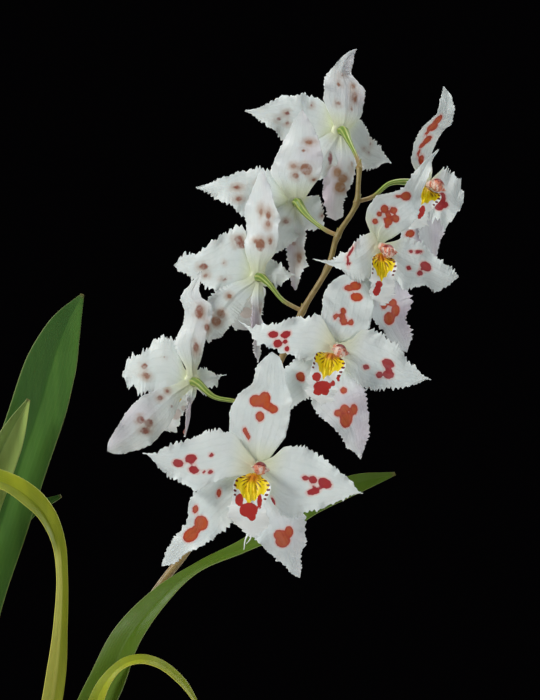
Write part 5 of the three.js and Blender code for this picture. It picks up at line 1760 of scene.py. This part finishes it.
@dataclass(frozen=True)
class Pseudobulb:
    """A flattened, ribbed bulb that stands in the bark."""

    name: str
    x: float
    y: float
    top: float
    half_width: float
    half_depth: float

    BOTTOM = 85
    # Shares of the half width and of the height
    PROFILE = (
        (0, 0), (0.3, 0), (0.5, 0.004), (0.8, 0.1), (0.97, 0.25), (1, 0.4), (0.9, 0.58), (0.7, 0.77),
        (0.44, 0.93), (0.33, 0.985), (0.3, 0.998), (0.2, 1), (0, 1),
    )
    RINGS = 72
    RIBS = 13
    RIB_HEIGHT = 0.016

    def shell(self) -> Shell:
        """The bulb: its profile turned, flattened front to back, with shallow lengthwise ribs.

        The ribs are 1 + height * cos(13 * angle + 1.3 * sin(4 * share)) * sin(pi * share) times
        the radius, where the share runs up the bulb.
        """
        radii, heights = np.array(self.PROFILE).T
        steps = np.linspace(0, len(radii) - 1, self.RINGS)
        index = np.arange(len(radii))
        radius = self.half_width * smooth_through(index, radii, steps)
        height = self.BOTTOM + (self.top - self.BOTTOM) * smooth_through(index, heights, steps)
        shell = turned_shell(list(zip(radius, height)), self.RINGS)
        x, y, z = shell.points.T
        share = (z - self.BOTTOM) / (self.top - self.BOTTOM)
        waves = np.cos(self.RIBS * np.arctan2(y, x) + 1.3 * np.sin(4 * share))
        ribs = 1 + self.RIB_HEIGHT * waves * np.sin(np.pi * np.clip(share, 0, 1))
        flat = self.half_depth / self.half_width
        shell.points = np.stack([self.x + x * ribs, self.y + y * flat * ribs, z], axis=1)
        return shell


PSEUDOBULBS = (
    Pseudobulb("pseudobulb_front", 20, -4, 165, 16, 12),
    Pseudobulb("pseudobulb_middle", -14, 0, 165, 15, 11),
    Pseudobulb("pseudobulb_back", -30, 23, 150, 13, 9),
)


@dataclass(frozen=True)
class Pot:
    """A plain thrown clay pot with a rim and five drain holes."""

    HEIGHT = 110
    FLOOR = 6
    FOOT_RADIUS = 43
    FOOT_EDGE = 1.5
    NECK_RADIUS = 57.5
    RIM_RADIUS = 62.5
    RIM_HEIGHT = 18
    WALL = 5
    WALL_SWELL = 0.5
    SIDES = 144
    HOLES = 5
    HOLE_RADIUS = 4
    HOLE_RING = 22
    DRILL = (-9, 15)

    def wall_radius(self, height: float) -> float:
        """The radius of the inner wall at a height."""
        share = (height - self.FLOOR) / (self.HEIGHT - self.FLOOR)
        return self.FOOT_RADIUS - self.WALL + (self.RIM_RADIUS - self.FOOT_RADIUS) * share

    def profile(self) -> list[tuple[float, float]]:
        """Half of the section: round edges, and a wall that swells a little between foot and neck."""
        foot, neck, rim = self.FOOT_RADIUS, self.NECK_RADIUS, self.RIM_RADIUS
        top, ledge, inner = self.HEIGHT, self.HEIGHT - self.RIM_HEIGHT, self.wall_radius(self.HEIGHT)
        share = np.linspace(0, 1, 24)[1:-1]
        wall = foot + (neck - foot) * share + self.WALL_SWELL * np.sin(np.pi * share)
        return [
            (0, 0), (12, 0), (32, 0), (foot - 1.4, 0), (foot - 0.4, 0.4), (foot, 1.4),
            *zip(wall, self.FOOT_EDGE + (ledge - self.FOOT_EDGE) * share),
            (neck, ledge - 0.6), (neck + 0.6, ledge), (rim - 1.2, ledge + 0.4), (rim - 0.3, ledge + 1.2),
            (rim, ledge + 2.6), (rim, ledge + 8), (rim, top - 3), (rim - 0.5, top - 1.2),
            (rim - 1.6, top - 0.2), (rim - 2.6, top),
            (inner + 1.2, top), (inner + 0.3, top - 0.4), (inner - 0.2, top - 1.4),
            *((self.wall_radius(height), height) for height in (100, 80, 60, 40, 20, 10)),
            (self.wall_radius(8) - 0.6, 7), (self.wall_radius(6) - 3, self.FLOOR),
            (20, self.FLOOR), (0, self.FLOOR),
        ]

    def build(self, material: Material) -> None:
        """Makes the pot and cuts its drain holes."""
        pot = turned_shell(self.profile(), self.SIDES).made("pot", "terracotta", material)
        low, high = self.DRILL
        drills = []
        for angle in round_angles(self.HOLES):
            drill = turned_shell([(0, low), (self.HOLE_RADIUS, low), (self.HOLE_RADIUS, high), (0, high)], 28)
            drill.points += (self.HOLE_RING * math.cos(angle), self.HOLE_RING * math.sin(angle), 0)
            drills.append(drill)
        joined = Shell.joined(drills)
        mesh = bpy.data.meshes.new("drain_drills")
        faces = [*joined.quads.tolist(), *joined.triangles.tolist()]
        mesh.from_pydata((joined.points * MM).tolist(), [], faces)
        cutter = linked("drain_drills", mesh)
        cut = pot.modifiers.new("drain_holes", "BOOLEAN")
        cut.operation, cut.object, cut.solver = "DIFFERENCE", cutter, "EXACT"
        evaluated = pot.evaluated_get(bpy.context.evaluated_depsgraph_get())
        pierced = bpy.data.meshes.new_from_object(evaluated)
        pot.modifiers.remove(cut)
        pot.data = pierced
        bpy.data.objects.remove(cutter)
        LOG.info("pot: %d drain holes cut", self.HOLES)


@dataclass(frozen=True)
class Bark:
    """Chips of bark that fill the pot, loose on top."""

    pot: Pot

    BOTTOM = 6.3
    LEVEL = 97
    GAP = 0.3
    BED_DEPTH = 3
    BED_SHADE = 0.2
    CHIPS = 260
    REACH = 50
    SMALLEST = (7, 4.5, 2.6)
    GROWTH = (9, 5, 2.6)
    # How far a block's corners are drawn in, 1 making it a ball, and how far each strays
    ROUNDNESS = 0.45
    UNEVENNESS = 0.16
    GREATEST_TILT = 0.42
    SEED = 11

    def bed(self) -> Shell:
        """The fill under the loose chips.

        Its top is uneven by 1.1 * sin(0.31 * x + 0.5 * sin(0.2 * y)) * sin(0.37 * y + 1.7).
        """
        level = self.LEVEL - self.BED_DEPTH
        heights = np.linspace(self.BOTTOM, level, 12)
        walls = [(self.pot.wall_radius(height) - self.GAP, height) for height in heights]
        top = [(radius, level) for radius in np.linspace(walls[-1][0] - 1, 0, 22)]
        shell = turned_shell([(0, self.BOTTOM), *walls, *top], 60)
        x, y, z = shell.points.T
        rough = 1.1 * np.sin(0.31 * x + 0.5 * np.sin(0.2 * y)) * np.sin(0.37 * y + 1.7)
        shell.points[:, 2] = np.where(z > level - 1, z + rough, z)
        return shell.filled(chip=self.BED_SHADE)

    def block(self) -> tuple[Array, Array]:
        """A cube of two by two faces a side, its corners drawn in towards a ball."""
        side = np.array([-1.0, 0.0, 1.0])
        grid = np.stack(np.meshgrid(side, side, side, indexing="ij"), axis=-1)
        outer = np.abs(grid).max(axis=-1) == 1
        number = (np.cumsum(outer) - 1).reshape(outer.shape)
        faces = []
        for axis in range(3):
            for end in (0, 2):
                quads = grid_quads(np.take(number, end, axis=axis))
                faces.append(quads[:, ::-1] if (end == 0) != (axis == 1) else quads)
        corners = grid[outer]
        away = np.linalg.norm(corners, axis=1, keepdims=True)
        return corners / away**self.ROUNDNESS, np.vstack(faces)

    def chips(self) -> Shell:
        """The loose chips: rounded blocks of random size and turn, on a sunflower spiral.

        Chip n lies at the angle n * pi * (3 - sqrt(5)) and the radius reach * sqrt((n + 0.5) /
        count). Each is turned about its x axis, then its y axis and then its z axis.
        """
        rng = np.random.default_rng(self.SEED)
        block, faces = self.block()
        count = self.CHIPS
        order = np.arange(count)
        radius = self.REACH * np.sqrt((order + 0.5) / count)
        angle = order * math.pi * (3 - math.sqrt(5)) + rng.uniform(-0.3, 0.3, count)
        size = (np.array(self.SMALLEST) + np.array(self.GROWTH) * rng.random((count, 3)) ** 1.5) / 2
        tilt, lean = rng.uniform(-self.GREATEST_TILT, self.GREATEST_TILT, (2, count))
        spin = rng.uniform(0, 2 * np.pi, count)
        height = self.LEVEL - 1.5 + rng.uniform(-1, 2.2, count)
        place = np.stack([radius * np.cos(angle), radius * np.sin(angle), height], axis=1)
        jitter = 1 + rng.uniform(-self.UNEVENNESS, self.UNEVENNESS, (count, len(block), 3))
        body = block * jitter * size[:, None]
        for first, second, amount in ((1, 2, tilt), (0, 2, lean), (0, 1, spin)):
            cos, sin = np.cos(amount)[:, None], np.sin(amount)[:, None]
            a, b = body[..., first].copy(), body[..., second].copy()
            body[..., first], body[..., second] = cos * a - sin * b, sin * a + cos * b
        points = (body + place[:, None]).reshape(-1, 3)
        quads = (faces[None] + (len(block) * order)[:, None, None]).reshape(-1, 4)
        return Shell(points, quads, NO_TRIANGLES, {"chip": np.repeat(rng.random(count), len(block))})

    def build(self, material: Material) -> None:
        """Makes the growing medium, with flat faces on its chips."""
        piece = Shell.joined([self.bed(), self.chips()]).made("growing_medium", "bark", material)
        flat = np.zeros(len(piece.data.polygons), bool)
        piece.data.polygons.foreach_set("use_smooth", flat)


@dataclass(frozen=True)
class Light:
    """A square soft light: its place and size in metres, its power in watts and its colour."""

    name: str
    place: Point
    size: float
    power: float
    colour: Point = (1, 1, 1)


@dataclass(frozen=True)
class Studio:
    """A pale floor, soft lights and the camera, in metres."""

    VIEW_CENTRE = (0.1148, 0.0, 0.3501)
    VIEW_HEIGHT = 0.287
    DISTANCE = 4.0
    SENSOR = 36.0
    FLOOR_RADIUS = 3.2
    FLOOR_SIDES = 96
    NIGHT = (0.0008, 0.0007, 0.0009, 1)
    LIGHTS = (
        Light("key", (-1.4, -1.2, 1.5), 0.5, 34, (1, 0.99, 0.96)),
        Light("fill", (1.2, -1.7, 0.3), 0.9, 9, (0.95, 0.98, 1)),
        Light("top", (0.5, 0.4, 1.6), 0.7, 12),
        Light("rim_left", (-1.1, 1.1, 0.8), 0.6, 9),
        Light("rim_right", (1.2, 1.2, 0.9), 0.6, 9),
    )

    def build(self) -> None:
        """Sets up the floor, the world, the lights and the camera."""
        self.floor()
        self.world()
        for light in self.LIGHTS:
            self.light(light)
        self.camera()

    def floor(self) -> None:
        """A plain round floor, pale and matt."""
        angles = round_angles(self.FLOOR_SIDES)
        points = np.stack([np.cos(angles), np.sin(angles), 0 * angles], axis=1) * self.FLOOR_RADIUS
        mesh = bpy.data.meshes.new("floor")
        mesh.from_pydata(points.tolist(), [], [list(range(self.FLOOR_SIDES))])
        nodes = Nodes("floor", Roughness=0.8)
        tint = nodes.mix(nodes.noise(3), paint(206, 205, 202), paint(214, 213, 210))
        mesh.materials.append(nodes.done(tint))
        floor = linked("floor", mesh)

    def world(self) -> None:
        """A plain dark world, so that white flowers stand out."""
        world = bpy.data.worlds.new("studio")
        world.use_nodes = True
        background = world.node_tree.nodes["Background"]
        background.inputs["Color"].default_value = self.NIGHT
        background.inputs["Strength"].default_value = 1.0
        bpy.context.scene.world = world
        bpy.context.scene.view_settings.view_transform = "Standard"

    def light(self, light: Light) -> None:
        """Adds one soft light, aimed at the middle of the view."""
        data = bpy.data.lights.new(light.name, "AREA")
        data.shape, data.size = "SQUARE", light.size
        data.energy, data.color = light.power, light.colour
        lamp = linked(light.name, data)
        lamp.location = light.place
        way = Vector(self.VIEW_CENTRE) - lamp.location
        lamp.rotation_euler = way.to_track_quat("-Z", "Y").to_euler()

    def camera(self) -> None:
        """A level camera with a long lens that looks along +Y."""
        data = bpy.data.cameras.new("camera")
        data.sensor_width = self.SENSOR
        data.lens = self.SENSOR * self.DISTANCE / self.VIEW_HEIGHT
        data.clip_start, data.clip_end = 0.1, 50
        camera = linked("camera", data)
        x, y, z = self.VIEW_CENTRE
        camera.location = (x, y - self.DISTANCE, z)
        camera.rotation_euler = (math.radians(90), 0, 0)
        bpy.context.scene.camera = camera


def main() -> None:
    """Builds the stage and every piece."""
    logging.basicConfig(level=logging.INFO, format="%(name)s: %(message)s")
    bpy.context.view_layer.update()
    Studio().build()
    flower = {
        "sepal": BlossomFinish("sepal", paint(200, 86, 28), paint(188, 60, 30)).material(),
        "petal": BlossomFinish("petal", paint(176, 40, 40), paint(168, 34, 44)).material(),
        "lip": LipFinish().material(),
        "column": ColumnFinish().material(),
    }
    pot = Pot()
    pot.build(ClayFinish().material())
    Bark(pot).build(BarkFinish().material())
    bulb_material = BulbFinish().material()
    for bulb in PSEUDOBULBS:
        bulb.shell().made(bulb.name, "pseudobulb", bulb_material)
    greens = {green: green.value.material() for green in Green}
    for leaf in LEAVES:
        leaf.shell().made(leaf.name, leaf.green.value.name, greens[leaf.green])
    Spike().shell().made("flower_stem", "stem", StemFinish().material())
    for bloom in BLOOMS:
        bloom.build(flower)


if __name__ == "__main__":
    main()
